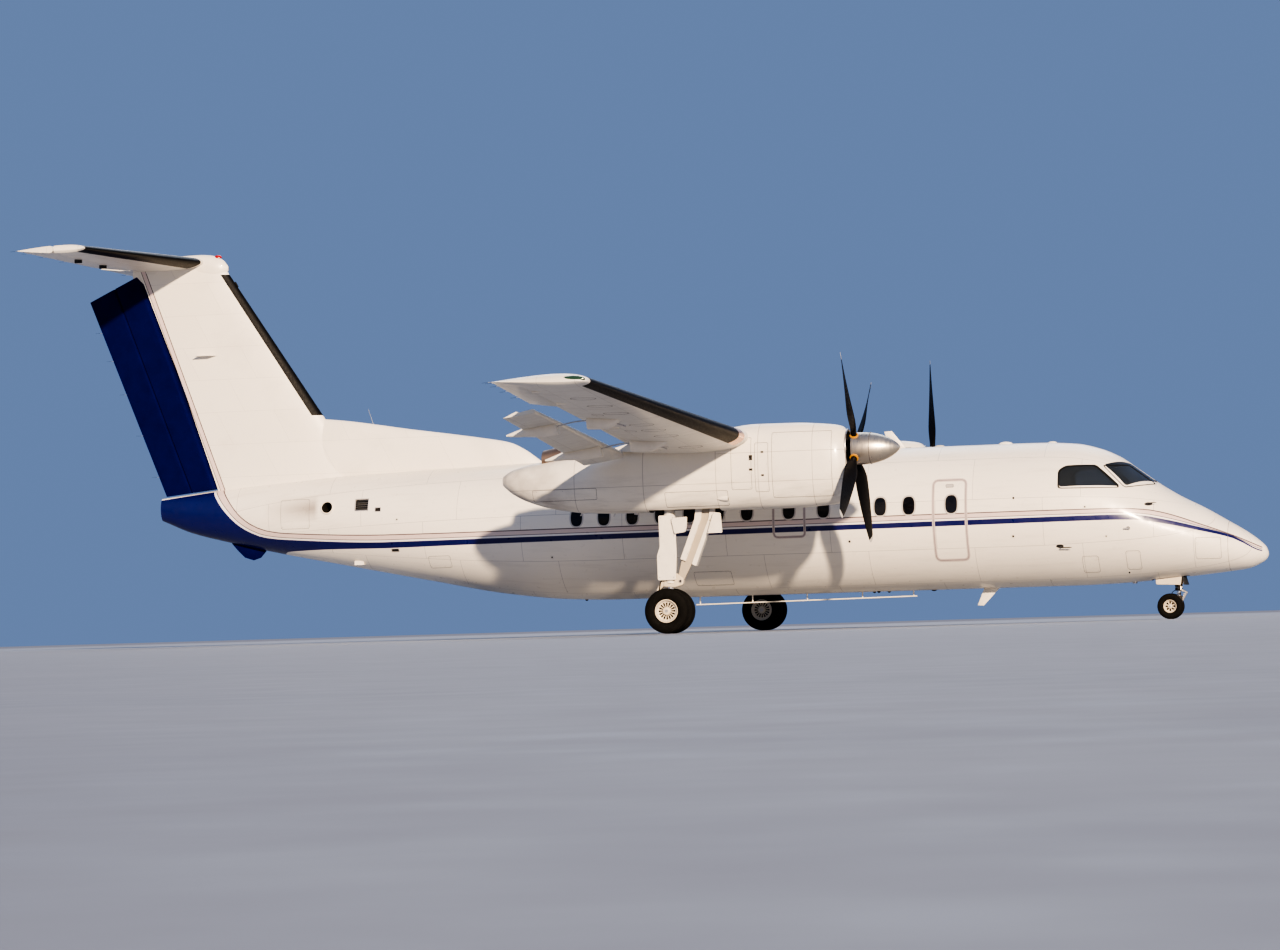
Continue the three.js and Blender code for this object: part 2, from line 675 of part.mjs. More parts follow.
function spinnerProfile() {
  const steps = 6;
  const rows = [[0, SPINNER_TIP]];
  for (let i = 1; i <= steps; i += 1) {
    const share = i / steps;
    const station = mix(SPINNER_TIP, SPINNER_BASE - 160, share ** 1.6);
    const radius = SPINNER_RADIUS * Math.sin((Math.PI / 2) * share ** 0.95) ** 0.85;
    rows.push([radius, station]);
  }
  rows.push([SPINNER_RADIUS, SPINNER_BASE], [0, SPINNER_BASE]);
  return rows.reverse();
}

function propeller(side, y, lean) {
  const centre = point(PROP_STATION, y, PROP_AXIS);
  const on = (station) => point(station, y, PROP_AXIS);
  const leans = Array.from({ length: PROP_BLADES }, (unused, k) => lean + (k * 360) / PROP_BLADES);
  const hub = bar(on(PROP_STATION - 95), on(PROP_STATION + 50), HUB_RADIUS, HUB_RADIUS, 20);
  const bore = SHAFT_RADIUS + SHAFT_SLACK;
  const shaftHole = bar(on(PROP_STATION - 71), on(PROP_STATION + 60), bore, bore, SHAFT_SIDES);
  const blades = leans.map((each) => blade(centre, each));
  add(`propeller_${side}`, joined([hub].concat(blades)).subtract(shaftHole), "blade");
  const hubHole = bar(on(PROP_STATION - 95.4), on(PROP_STATION + 80), HUB_RADIUS + 0.4, HUB_RADIUS + 0.4, 20);
  const rootHoles = leans.map((each) => {
    const angle = THREE.MathUtils.degToRad(each);
    const out = new THREE.Vector3(0, -Math.sin(angle), Math.cos(angle));
    return bar(centre.clone().addScaledVector(out, 100), centre.clone().addScaledVector(out, 360), 80, 80,
      12);
  });
  add(`spinner_${side}`, latheX(spinnerProfile(), y,
    PROP_AXIS).subtract(joined([hubHole].concat(rootHoles))), "spinner");
}

propeller("right", -NACELLE_Y, RIGHT_PROP_LEAN);
propeller("left", NACELLE_Y, LEFT_PROP_LEAN);
for (const [side, place] of [["right", (solid) => solid], ["left", mirrored]]) {
  add(`nacelle_${side}`, place(nacelle), "white");
  add(`engine_${side}`, place(engine), "metal");
  add(`exhaust_${side}`, place(exhaust), "soot");
}

// Landing gear wheels: both rims sit on one turning axle, with a tyre on each rim
const TYRE_SECTION = [
  // [share of the wall height, share of the half width]
  [0, 0.78], [0.4, 1], [0.75, 0.9], [0.95, 0.62], [1, 0.34],
];

function tyre({ radius, width, rim }, segments) {
  const inner = rim + TOUCH_GAP;
  const right = TYRE_SECTION.map(([high, wide]) => new THREE.Vector2(mix(inner, radius, high),
    (width / 2) * wide));
  const left = right.map((p) => new THREE.Vector2(p.x, -p.y)).reverse();
  return solidOf(new THREE.LatheGeometry(right.concat(left, [right[0].clone()]), segments));
}

// [radius as a share of the rim, or a fixed axle radius; distance out from the middle plane]
function rims({ rim, width, spacing }, axle, segments) {
  const near = spacing - width * 0.45;
  const far = spacing + width * 0.4;
  const half = [[axle, near], [rim, near], [rim, far], [rim * 0.86, far], [rim * 0.8, far - 45],
    [rim * 0.36, far - 55], [rim * 0.3, far - 8]];
  const outer = half.map(([r, y]) => new THREE.Vector2(r, y));
  const inner = half.map(([r, y]) => new THREE.Vector2(r, -y)).reverse();
  const ends = [new THREE.Vector2(0, -(far - 8)), new THREE.Vector2(0, far - 8)];
  return solidOf(new THREE.LatheGeometry([ends[0]].concat(inner, outer, [ends[1]]), segments));
}

function wheelSet(name, sizes, axle, x, y, segments) {
  const z = sizes.radius;
  add(`${name}_rims`, rims(sizes, axle, segments).translate([x, y, z]), "rim");
  add(`${name}_tyre_outer`, tyre(sizes, segments).translate([x, y + Math.sign(y || 1) * sizes.spacing, z]),
    "tyre");
  add(`${name}_tyre_inner`, tyre(sizes, segments).translate([x, y - Math.sign(y || 1) * sizes.spacing, z]),
    "tyre");
}

// Extrudes a side-view outline, given as [station, height] pairs, between two distances from the centre line
function sidePlate(outline, y0, y1) {
  const shape = new THREE.Shape(outline.map(([station, height]) => new THREE.Vector2(atStation(station),
    aboveAxis(height))));
  const geometry = new THREE.ExtrudeGeometry(shape, { depth: Math.abs(y1 - y0), bevelEnabled: false });
  geometry.rotateX(Math.PI / 2);
  geometry.translate(0, Math.max(y0, y1), 0);
  return solidOf(geometry);
}

const MAIN_AXLE = 45;
const NOSE_AXLE = 24;
wheelSet("main_wheel_right", MAIN_TYRE, MAIN_AXLE, atStation(MAIN_STATION), -NACELLE_Y, 24);
wheelSet("main_wheel_left", MAIN_TYRE, MAIN_AXLE, atStation(MAIN_STATION), NACELLE_Y, 24);
wheelSet("nose_wheel", NOSE_TYRE, NOSE_AXLE, atStation(NOSE_STATION), 0, 20);

// Main leg: cylinder and piston, the yoke that the folding brace holds, the flat fairings and the short
// bay doors
const mainAxleHeight = MAIN_TYRE.radius - AXIS_HEIGHT;
const onMain = (station, height, across = 0) => point(station, -NACELLE_Y + across, height);
const mainPlate = (outline, y0, y1) => sidePlate(outline, -NACELLE_Y + y0, -NACELLE_Y + y1);
const mainLeg = joined([
  bar(onMain(MAIN_STATION - 30, GEAR_BAY.roof - TOUCH_GAP), onMain(MAIN_STATION - 30, -1120), 88, 88, 16),
  bar(onMain(MAIN_STATION - 20, -1000), onMain(MAIN_STATION, mainAxleHeight), 56, 56, 16),
  bar(onMain(MAIN_STATION, mainAxleHeight, -70), onMain(MAIN_STATION, mainAxleHeight, 70), 82, 82, 20),
  mainPlate([[10190, 110], [9895, 110], [9880, -560], [9905, -1020], [10230, -1020], [10235, -590],
    [10180, -440]], -125, -100),
  mainPlate([[10150, -1130], [10120, -950], [9900, -900], [9780, -1010], [9800, -1110], [9950, -1150]],
    -62, 62),
  mainPlate([[10100, 60], [9960, 60], [9960, -60], [10100, -60]], -110, 70),
  mainPlate([[10100, -800], [9960, -800], [9960, -950], [10100, -950]], -110, 70),
  mainPlate([[9130, GEAR_BAY.roof - TOUCH_GAP], [9480, GEAR_BAY.roof - TOUCH_GAP], [9560, 20],
    [9790, -760], [9890, -1000], [9800, -1060], [9660, -800], [9240, 20]], -75, -40),
  mainPlate([[9130, GEAR_BAY.roof - TOUCH_GAP], [9480, GEAR_BAY.roof - TOUCH_GAP], [9560, 20],
    [9790, -760], [9890, -1000], [9800, -1060], [9660, -800], [9240, 20]], 40, 75),
  mainPlate([[9230, 300], [9400, 300], [9870, -1000], [9790, -1040]], -60, 60),
  mainPlate([[9950, 60], [9650, 75], [9625, -190], [9900, -215]], -175, -160),
  mainPlate([[9950, 30], [9700, 30], [9700, -30], [9950, -30]], -170, -70),
  mainPlate([[9190, 140], [9060, 120], [9040, -225], [9310, -225]], -175, -160),
  mainPlate([[9320, 30], [9150, 30], [9150, -30], [9320, -30]], -170, -50),
]).subtract(bar(onMain(MAIN_STATION, mainAxleHeight, -90), onMain(MAIN_STATION, mainAxleHeight,
  90), MAIN_AXLE + 0.5, MAIN_AXLE + 0.5, 26));
add("main_leg_right", mainLeg, "white");
add("main_leg_left", mirrored(mainLeg), "white");

// Nose leg: a fixed cylinder, and a steered piston that carries the trailing axle
const STEER_STATION = NOSE_STATION - NOSE_TRAIL;
const NOSE_BAY = { front: 1400, back: 2080, half: 185, roof: -740 };
const noseAxleHeight = NOSE_TYRE.radius - AXIS_HEIGHT;
const STEER = { collar: -1385, top: -1200, piston: 38 };
const noseStrut = bar(point(STEER_STATION, 0, NOSE_BAY.roof - TOUCH_GAP), point(STEER_STATION, 0,
  STEER.collar + 5), 62, 62, 20)
  .add(bar(point(STEER_STATION + 330, 0, NOSE_BAY.roof - 40), point(STEER_STATION + 20, 0, -1260), 24, 24,
    12))
  .add(bar(point(STEER_STATION, -75, -1290), point(STEER_STATION, 75, -1290), 42, 42, 14))
  .subtract(bar(point(STEER_STATION, 0, STEER.collar - 50), point(STEER_STATION, 0, STEER.top),
    STEER.piston + 0.5, STEER.piston + 0.5, 24));
const steeredLeg = joined([
  bar(point(STEER_STATION, 0, STEER.top - 5), point(STEER_STATION, 0, noseAxleHeight + 40), STEER.piston,
    STEER.piston, 24),
  bar(point(STEER_STATION, 0, STEER.collar), point(STEER_STATION, 0, STEER.collar - 60), 66, 66, 20),
  sidePlate([
    [STEER_STATION - 62, noseAxleHeight + 190], [STEER_STATION + 20,
      noseAxleHeight + 190], [NOSE_STATION + 45, noseAxleHeight + 20],
    [NOSE_STATION + 20, noseAxleHeight - 45], [NOSE_STATION - 60,
      noseAxleHeight - 45], [STEER_STATION - 62, noseAxleHeight + 60],
  ], -42, 42),
  sidePlate([
    [STEER_STATION - 30, STEER.collar - 30], [STEER_STATION - 150,
      STEER.collar - 95], [STEER_STATION - 150, STEER.collar - 125],
    [STEER_STATION - 20, STEER.collar - 60],
  ], -28, 28),
  sidePlate([
    [STEER_STATION - 118, STEER.collar - 80], [STEER_STATION - 150,
      STEER.collar - 95], [STEER_STATION - 70, noseAxleHeight + 95],
    [STEER_STATION - 40, noseAxleHeight + 120],
  ], -28, 28),
]).subtract(bar(point(NOSE_STATION, -60, noseAxleHeight), point(NOSE_STATION, 60,
  noseAxleHeight), NOSE_AXLE + 0.5, NOSE_AXLE + 0.5, 20));
add("nose_strut", noseStrut, "metal");
add("nose_steered_leg", steeredLeg, "metal");

// Fin and its two rudder panels
const FIN = {
  upright: true,
  root: [16745, 0, 1000, 4075, 0.1, 0, 0.7546],
  tip: [19510, 0, 5240, 2950, 0.1, 0, 0.6136],
};
const RUDDER_SPLIT = 0.5;
const RUDDER_LUGS = { low: 1250, high: 4900 };
const finAt = (height) => sectionOf(FIN, (height - FIN.root[2]) / (FIN.tip[2] - FIN.root[2]));
const trailing = (section) => ({ ...section, hinge: mix(section.hinge, 1, RUDDER_SPLIT) });

// A hinged panel that ends in front of another one
function forePanel(section, next) {
  const whole = hingedOutline(section, false);
  const limit = onSection(section, bayEdge(next), 0).x;
  const side = (sign) => onSection(section, bayEdge(next), sign * foil(section.thick, bayEdge(next)));
  const kept = whole.filter((p) => p.x > limit + 1);
  return [side(1)].concat(kept, [side(-1)]);
}

// [station, top, bottom, half width] of the fillet that runs forward from the fin
const DORSAL = [
  [13330, 1290, 700, 60],
  [13700, 1560, 700, 110],
  [13970, 1690, 700, 130],
  [14350, 1770, 700, 145],
  [15860, 2010, 700, 160],
  [17500, 2262, 700, 160],
  [17900, 2290, 700, 120],
];
const FIN_CAP = [
  [19440, 5265, 5180, 20],
  [19540, 5390, 5050, 85],
  [19720, 5475, 4960, 125],
  [20000, 5505, 4950, 140],
  [20800, 5480, 4950, 138],
  [21330, 5410, 5000, 105],
];
const FIN_TOP = 5228;
const grownFuselage = fuselage(RADOME_END, TAIL_END, TOUCH_GAP);
const fin = joined([loft([finAt(780), finAt(FIN_TOP)].map((section) => foilOutline(section,
  bayEdge(section), false))), crossLoft(DORSAL, 0, 16)])
  .subtract(grownFuselage);
const rudderLow = { front: [19760, 1035], back: [20900, 905] };
const rudderHigh = { front: [21280, 5120], back: [22330, 4664] };
const rudderSpace = sidePlate([
  [18500, 1035 + 130], rudderLow.front, rudderLow.back, [24000, 560], [24000,
    4000], rudderHigh.back, rudderHigh.front, [18500, 6260],
], -400, 400);
const foreLugs = lugSet(finAt(RUDDER_LUGS.low), finAt(RUDDER_LUGS.high));
const rearLugs = lugSet(trailing(finAt(RUDDER_LUGS.low)), trailing(finAt(RUDDER_LUGS.high)));
const foreRudder = loft([finAt(880), finAt(5200)].map((section) => forePanel(section, trailing(section))))
  .intersect(rudderSpace)
  .subtract(foreLugs.notches)
  .add(rearLugs.lugs);
const rearRudder = loft([finAt(820), finAt(5200)].map((section) => hingedOutline(trailing(section), false)))
  .intersect(rudderSpace)
  .subtract(rearLugs.notches);
add("fin", fin.add(foreLugs.lugs), "white");
add("rudder_fore", foreRudder, "blue");
add("rudder_rear", rearRudder, "blue");

// Tailplane on top of the fin
const TAILPLANE = {
  root: [19860, 0, TAILPLANE_HEIGHT, 2230, 0.12, 0, 0.69],
  tip: [20800, -TAILPLANE_HALF, TAILPLANE_HEIGHT, 1290, 0.11, 0, 0.504],
};
const tailAt = (y) => sectionOf(TAILPLANE, y / TAILPLANE_HALF);
const otherSide = (section) => ({ ...section, y: -section.y });
// [distance from the centre line, share of the thickness kept]
const TAIL_STEPS = [[TAILPLANE_HALF, 0.4], [TAILPLANE_HALF - 40, 1], [0, 1]];
const tailHalf = TAIL_STEPS.map(([y, kept]) => {
  const section = tailAt(y);
  const thinner = { ...section, thick: section.thick * kept };
  return [thinner, otherSide(thinner)].map((each) => foilOutline(each, bayEdge(section), false));
});
const tailRings = tailHalf.map(([right]) => right).concat([tailHalf[1][1], tailHalf[0][1]]);
const finCap = crossLoft(FIN_CAP, 0, 20).subtract(stationBox(19000, 23000, -500, 500, 4000,
  FIN_TOP + TOUCH_GAP));
const tailplane = loft(tailRings).subtract(fin).subtract(stationBox(19000, 23000, -200, 200, 4000,
  FIN_TOP + TOUCH_GAP)).add(finCap);
const elevatorLugs = lugSet(tailAt(ELEVATOR_INNER), tailAt(TAILPLANE_HALF));
const elevator = loft([tailAt(ELEVATOR_INNER),
  tailAt(TAILPLANE_HALF)].map((section) => hingedOutline(section, false)))
  .subtract(elevatorLugs.notches);
add("tailplane", tailplane.add(elevatorLugs.lugs).add(mirrored(elevatorLugs.lugs)), "white");
add("elevator_right", elevator, "white");
add("elevator_left", mirrored(elevator), "white");

// Cockpit: windscreen and side panes, as [station, height, distance from the centre line]
const PANES = {
  windscreen: {
    facing: [-0.552, 0.731, 0.401],
    corners: [[1925, 465, 85], [2420, 410, 870], [2810, 820, 730], [2395, 825, 80]],
  },
  side_window: {
    facing: [-0.187, 0.44, 0.878],
    corners: [[2500, 410, 900], [2930, 830, 790], [3440, 830, 930], [3570, 750, 980], [3570, 425, 1130]],
  },
};

// A block that goes through the wall where the pane is; keep below 1 leaves a rim round it
function paneBlock({ facing, corners }, keep) {
  const out = new THREE.Vector3(-facing[0], -facing[2], facing[1]).normalize();
  const ring = corners.map(([station, height, y]) => point(station, -y, height));
  const middle = ring.reduce((sum, p) => sum.add(p), new THREE.Vector3()).divideScalar(ring.length);
  const kept = ring.map((p) => p.clone().sub(middle).multiplyScalar(keep).add(middle));
  return loft([-260, 260].map((reach) => kept.map((p) => p.clone().addScaledVector(out, reach))));
}

// One length of the fuselage, ending just short of the next one
function slice(front, back) {
  return fuselage(front, back).intersect(stationBox(front, back - TOUCH_GAP, -2000, 2000, -2000, 2000));
}

const noseBayHole = stationBox(NOSE_BAY.front, NOSE_BAY.back, -NOSE_BAY.half, NOSE_BAY.half, -2000,
  NOSE_BAY.roof);
const cabinSpace = fuselage(1850, 4400, -COCKPIT_WALL)
  .intersect(stationBox(COCKPIT_START, 4400, -2000, 2000, COCKPIT_FLOOR, 2000));
const paneHoles = Object.values(PANES).map((pane) => paneBlock(pane, 1));
const noseDoor = sidePlate([[1530, -1120], [2010, -1130], [2000, -1325], [1560, -1345]],
  -NOSE_BAY.half - 14, -NOSE_BAY.half + 4);
const cockpitShell = slice(RADOME_END, COCKPIT_END)
  .subtract(cabinSpace)
  .subtract(noseBayHole)
  .subtract(joined(paneHoles))
  .subtract(mirrored(joined(paneHoles)))
  .add(bar(point(JACK_PAD.noseStation, 0, -1150), point(JACK_PAD.noseStation, 0, JACK_PAD.noseFace),
    JACK_PAD.radius))
  .add(noseDoor)
  .add(mirrored(noseDoor));
const paneSkin = fuselage(1110, COCKPIT_END).subtract(fuselage(1110, 4400, -PANE_THICKNESS));
add("radome", slice(0, RADOME_END), "white");
add("cockpit_section", cockpitShell, "white");
for (const [name, pane] of Object.entries(PANES)) {
  const glass = paneSkin.intersect(paneBlock(pane, 0.9988));
  add(`${name}_right`, glass, "glass");
  add(`${name}_left`, mirrored(glass), "glass");
}

// Cockpit furniture: panel with its pedestal, and two seats
const panel = sidePlate([[2330, -597], [2560, -597], [2560, 300], [2700, 345], [2700, 375], [2380, 360]],
  -700, 700)
  .intersect(fuselage(1850, 4400, -COCKPIT_WALL - 25))
  .add(stationBox(2500, 3050, -150, 150, COCKPIT_FLOOR + TOUCH_GAP, -80));
add("instrument_panel", panel, "trim");
const seatSide = [[2980, -180], [3400, -180], [3480, 420], [3580, 420], [3520, -250], [3520, -330],
  [2980, -330]];
for (const [side, y] of [["right", -430], ["left", 430]]) {
  const seat = sidePlate(seatSide, y - 235, y + 235)
    .add(stationBox(3080, 3440, y - 150, y + 150, COCKPIT_FLOOR + TOUCH_GAP, -300));
  add(`pilot_seat_${side}`, seat, "trim");
}

// Blade aerials over and under the cabin, as [station, height]
const BLADE_AERIALS = [
  [[6470, 1270], [6780, 1270], [6880, 1610], [6740, 1620]],
  [[4820, -1270], [5120, -1270], [5260, -1600], [5150, -1610]],
];
const AERIAL_HALF = 11;

// Rail aerial below the cabin, on posts
const RAIL = { front: 6365, back: 10490, frontHeight: -1400, backHeight: -1440, radius: 12, post: 15 };
const RAIL_POSTS = [6428, 7375, 8404, 9427, 10415];

// Bumper under the tail, as [station, height]
const BUMPER = [
  [19490, 40], [19490, -20], [19380, -150], [19240, -290], [19070, -345], [18930, -300], [18840,
    -200], [18800, -150],
  [18800, -110],
];
const BUMPER_HALF = 30;

// Passenger cabin: solid, but for the lobby behind the door
const lobby = stationBox(LOBBY.front, LOBBY.back, LOBBY.right, LOBBY.left, DOOR.sill, LOBBY.roof)
  .intersect(fuselage(COCKPIT_END, FORWARD_END, -DOOR.wall));
const doorway = stationBox(DOOR.front, DOOR.back, 300, 2000, DOOR.sill, DOOR.head);
const doorBlock = stationBox(DOOR.front + DOOR.edge, DOOR.back - DOOR.edge, 300, 2000,
  DOOR.sill + DOOR.hingeGap, DOOR.head - DOOR.edge);
const doorSkin = fuselage(COCKPIT_END, FORWARD_END).subtract(fuselage(COCKPIT_END, FORWARD_END,
  -DOOR.wall + 20));
const STEPS = [-560, -230, 100, 430];
const steps = STEPS.map((height) => {
  const skin = Math.sqrt(CABIN_RADIUS ** 2 - height ** 2);
  return stationBox(DOOR.front + 90, DOOR.back - 90, skin - 300, skin - 40, height - 18, height + 18);
});
const forward = slice(COCKPIT_END, FORWARD_END)
  .subtract(lobby)
  .subtract(doorway)
  .add(joined(BLADE_AERIALS.map((outline) => sidePlate(outline, -AERIAL_HALF, AERIAL_HALF))));
add("forward_fuselage", forward, "white");
add("airstair_door", doorSkin.intersect(doorBlock).add(joined(steps)), "white");

// Fairing that beds the wing on the cabin roof
const WING_FAIRING = [
  [7550, 1306, 700, 260],
  [7850, 1370, 650, 700],
  [8350, 1480, 600, 1000],
  [9500, 1560, 600, 1050],
  [10900, 1490, 600, 1050],
  [11600, 1400, 650, 880],
  [12300, 1312, 700, 320],
];
const centre = slice(FORWARD_END, CENTRE_END).subtract(grownCentreWing);
const fairing = crossLoft(WING_FAIRING, 0, 20).subtract(grownFuselage).subtract(grownCentreWing);
add("centre_fuselage", centre, "white");
add("wing_fairing", fairing, "white");
const rearSpace = fuselage(CENTRE_END, REAR_END, -REAR_WALL)
  .intersect(stationBox(CENTRE_END - 10, REAR_END - REAR_WALL, -2000, 2000, -2000, 2000));
const bumper = sidePlate(BUMPER, -BUMPER_HALF, BUMPER_HALF);
const railHeight = (station) => mix(RAIL.frontHeight, RAIL.backHeight,
  (station - RAIL.front) / (RAIL.back - RAIL.front));
const onRail = (station) => point(station, 0, railHeight(station));
const rail = joined([bar(onRail(RAIL.front), onRail(RAIL.back), RAIL.radius, RAIL.radius, 8)].concat(
  RAIL_POSTS.map((station) => bar(point(station, 0, -1250), onRail(station), RAIL.post, RAIL.radius, 8)),
));
add("belly_aerial", rail.subtract(grownFuselage), "white");
add("rear_fuselage", slice(CENTRE_END, REAR_END).subtract(rearSpace).add(bumper), "white");
add("tail_cone", slice(REAR_END, TAIL_END), "blue");

export default group;
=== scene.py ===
import math
import bmesh
import bpy
from mathutils import Matrix, Vector


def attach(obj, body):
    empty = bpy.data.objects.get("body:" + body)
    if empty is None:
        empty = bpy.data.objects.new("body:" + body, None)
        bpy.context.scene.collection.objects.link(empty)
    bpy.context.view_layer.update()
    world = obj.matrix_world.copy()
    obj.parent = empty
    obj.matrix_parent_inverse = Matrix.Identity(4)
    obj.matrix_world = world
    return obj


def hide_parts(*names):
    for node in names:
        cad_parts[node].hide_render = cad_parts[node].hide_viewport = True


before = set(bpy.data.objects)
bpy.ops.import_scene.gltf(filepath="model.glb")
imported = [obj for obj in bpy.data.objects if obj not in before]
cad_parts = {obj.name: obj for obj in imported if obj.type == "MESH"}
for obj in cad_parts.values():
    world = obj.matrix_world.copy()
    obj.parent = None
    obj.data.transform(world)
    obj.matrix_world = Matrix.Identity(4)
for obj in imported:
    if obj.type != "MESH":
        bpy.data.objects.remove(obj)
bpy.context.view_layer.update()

# Metres. Stations run aft from the nose tip, heights are measured from the cabin's centre line.
LENGTH = 22.25
AXIS = 1.95
NACELLE_Y = 3.935
PROP_AXIS = 1.15
PROP_STATION = 6.665
HULL_RADIUS = 1.3
PANE_REACH = 0.26
SIDES = 96
SIDE_SIGNS = (("right", -1), ("left", 1))
# Edges that turn by more degrees than these stay sharp
WING_SHARP, SKIN_SHARP, FITTING_SHARP, STRIP_SHARP = 30, 32, 34, 40


def P(station, y, height):
    return Vector((LENGTH / 2 - station, y, AXIS + height))


def lerp(a, b, t):
    return a + (b - a) * t


def steps(start, end, size):
    count = max(1, round((end - start) / size))
    return [lerp(start, end, k / count) for k in range(count + 1)]


def full_turn(count):
    """Angles in radians, in even steps all the way round."""
    return [2 * math.pi * k / count for k in range(count)]


def smooth(rows, x, column):
    """Value of a table column at x, on a curve through its rows that never overshoots."""
    if x <= rows[0][0]:
        return rows[0][column]
    if x >= rows[-1][0]:
        return rows[-1][column]
    i = next(k for k in range(len(rows) - 1) if x <= rows[k + 1][0])

    def slope(k):
        return (rows[k + 1][column] - rows[k][column]) / (rows[k + 1][0] - rows[k][0])

    def tangent(k):
        if k == 0:
            return slope(0)
        if k == len(rows) - 1:
            return slope(k - 1)
        a, b = slope(k - 1), slope(k)
        return 0.0 if a * b <= 0 else 2 * a * b / (a + b)

    width = rows[i + 1][0] - rows[i][0]
    t = (x - rows[i][0]) / width
    a, b = rows[i][column], rows[i + 1][column]
    ta, tb = tangent(i) * width, tangent(i + 1) * width
    start = (2 * t**3 - 3 * t**2 + 1) * a + (t**3 - 2 * t**2 + t) * ta
    return start + (3 * t**2 - 2 * t**3) * b + (t**3 - t**2) * tb


# Materials
class Net:
    """A material's node tree, with one short method for each kind of node used."""

    def __init__(self, name):
        self.material = bpy.data.materials.new(name)
        self.material.use_nodes = True
        self.tree = self.material.node_tree
        self.tree.nodes.clear()
        self.out = self.node("ShaderNodeOutputMaterial")
        self.shader = self.node("ShaderNodeBsdfPrincipled")
        self.link(self.shader.outputs[0], self.out.inputs["Surface"])
        self.where = self.node("ShaderNodeTexCoord").outputs["Object"]
        split = self.node("ShaderNodeSeparateXYZ")
        self.link(self.where, split.inputs[0])
        self.x, self.y, self.z = split.outputs

    def node(self, kind, **facts):
        made = self.tree.nodes.new(kind)
        for key, value in facts.items():
            setattr(made, key, value)
        return made

    def link(self, source, socket):
        self.tree.links.new(source, socket)

    def put(self, value, socket):
        if isinstance(value, bpy.types.NodeSocket):
            self.link(value, socket)
        elif isinstance(value, (tuple, list)) and len(value) == 3 and len(socket.default_value) == 4:
            socket.default_value = (*value, 1)
        else:
            socket.default_value = value

    def math(self, operation, a, b=0.0, clamp=False):
        made = self.node("ShaderNodeMath", operation=operation, use_clamp=clamp)
        self.put(a, made.inputs[0])
        self.put(b, made.inputs[1])
        return made.outputs[0]

    def vector(self, x, y, z):
        made = self.node("ShaderNodeCombineXYZ")
        for value, socket in zip((x, y, z), made.inputs):
            self.put(value, socket)
        return made.outputs[0]

    def plus(self, a, b, clamp=False):
        return self.math("ADD", a, b, clamp)

    def minus(self, a, b):
        return self.math("SUBTRACT", a, b)

    def times(self, a, b):
        return self.math("MULTIPLY", a, b)

    def frame(self):
        """Station and height, as the tables have them."""
        return self.minus(LENGTH / 2, self.x), self.minus(self.z, AXIS)

    def noise(self, scale, detail=3.0, rough=0.5, where=None):
        made = self.node("ShaderNodeTexNoise")
        self.link(where or self.where, made.inputs["Vector"])
        made.inputs["Scale"].default_value = scale
        made.inputs["Detail"].default_value = detail
        made.inputs["Roughness"].default_value = rough
        return made.outputs[0]

    def range(self, value, low, high, to_low=0.0, to_high=1.0):
        made = self.node("ShaderNodeMapRange")
        self.put(value, made.inputs[0])
        for k, number in enumerate((low, high, to_low, to_high), 1):
            self.put(number, made.inputs[k])
        return made.outputs[0]

    def mix(self, share, a, b):
        made = self.node("ShaderNodeMix", data_type="RGBA")
        self.put(share, made.inputs[0])
        self.put(a, made.inputs[6])
        self.put(b, made.inputs[7])
        return made.outputs[2]

    def curve(self, value, points):
        """Straight lines through (input, output) points."""
        xs = [p[0] for p in points]
        ys = [p[1] for p in points]
        x0, x1, y0, y1 = min(xs), max(xs), min(ys), max(ys) + 1e-6
        made = self.node("ShaderNodeFloatCurve")
        line = made.mapping.curves[0]
        scaled = sorted(((x - x0) / (x1 - x0), (y - y0) / (y1 - y0)) for x, y in points)
        while len(line.points) < len(scaled):
            line.points.new(0.5, 0.5)
        for spot, place in zip(line.points, scaled):
            spot.location = place
            spot.handle_type = "VECTOR"
        made.mapping.update()
        self.link(self.range(value, x0, x1), made.inputs["Value"])
        return self.range(made.outputs[0], 0.0, 1.0, y0, y1)

    def above(self, value, edge, soft=0.004):
        """1 where value is over edge, with a soft step."""
        return self.range(self.minus(value, edge), -soft, soft)

    def between(self, value, low, high, soft=0.004):
        return self.times(self.above(value, low, soft), self.minus(1.0, self.above(value, high, soft)))

    def either(self, a, b):
        return self.math("MAXIMUM", a, b)

    def plates(self, place, offset, width, row, mortar, colors, bias=0.0):
        """Skin plates with thin seams, and where the seams are. The colours: two kinds of plate, the seam."""
        made = self.node("ShaderNodeTexBrick", offset=offset)
        self.link(place, made.inputs["Vector"])
        sizes = {"Scale": 1.0, "Mortar Size": mortar, "Mortar Smooth": 0.3, "Bias": bias,
                 "Brick Width": width, "Row Height": row}
        for name, value in sizes.items():
            made.inputs[name].default_value = value
        for name, color in zip(("Color1", "Color2", "Mortar"), colors):
            self.put(color, made.inputs[name])
        return made.outputs["Color"], made.outputs["Fac"]

    def bump(self, height, strength, distance=0.01):
        made = self.node("ShaderNodeBump")
        made.inputs["Strength"].default_value = strength
        made.inputs["Distance"].default_value = distance
        self.link(height, made.inputs["Height"])
        return made.outputs[0]

    def done(self, color, rough, metal=0.0, coat=0.0, normal=None, **sockets):
        self.put(color, self.shader.inputs["Base Color"])
        self.put(rough, self.shader.inputs["Roughness"])
        self.put(metal, self.shader.inputs["Metallic"])
        self.put(coat, self.shader.inputs["Coat Weight"])
        if normal is not None:
            self.link(normal, self.shader.inputs["Normal"])
        for key, value in sockets.items():
            self.put(value, self.shader.inputs[key.replace("_", " ")])
        return self.material


WHITE = (0.81, 0.76, 0.67)
BLUE = (0.002, 0.002, 0.08)
MAUVE = (0.075, 0.048, 0.052)
PINK = (0.66, 0.54, 0.50)
PLATE_WHITES = ((0.82, 0.77, 0.68), (0.80, 0.75, 0.66))


def scaled(color, share):
    return tuple(c * share for c in color)


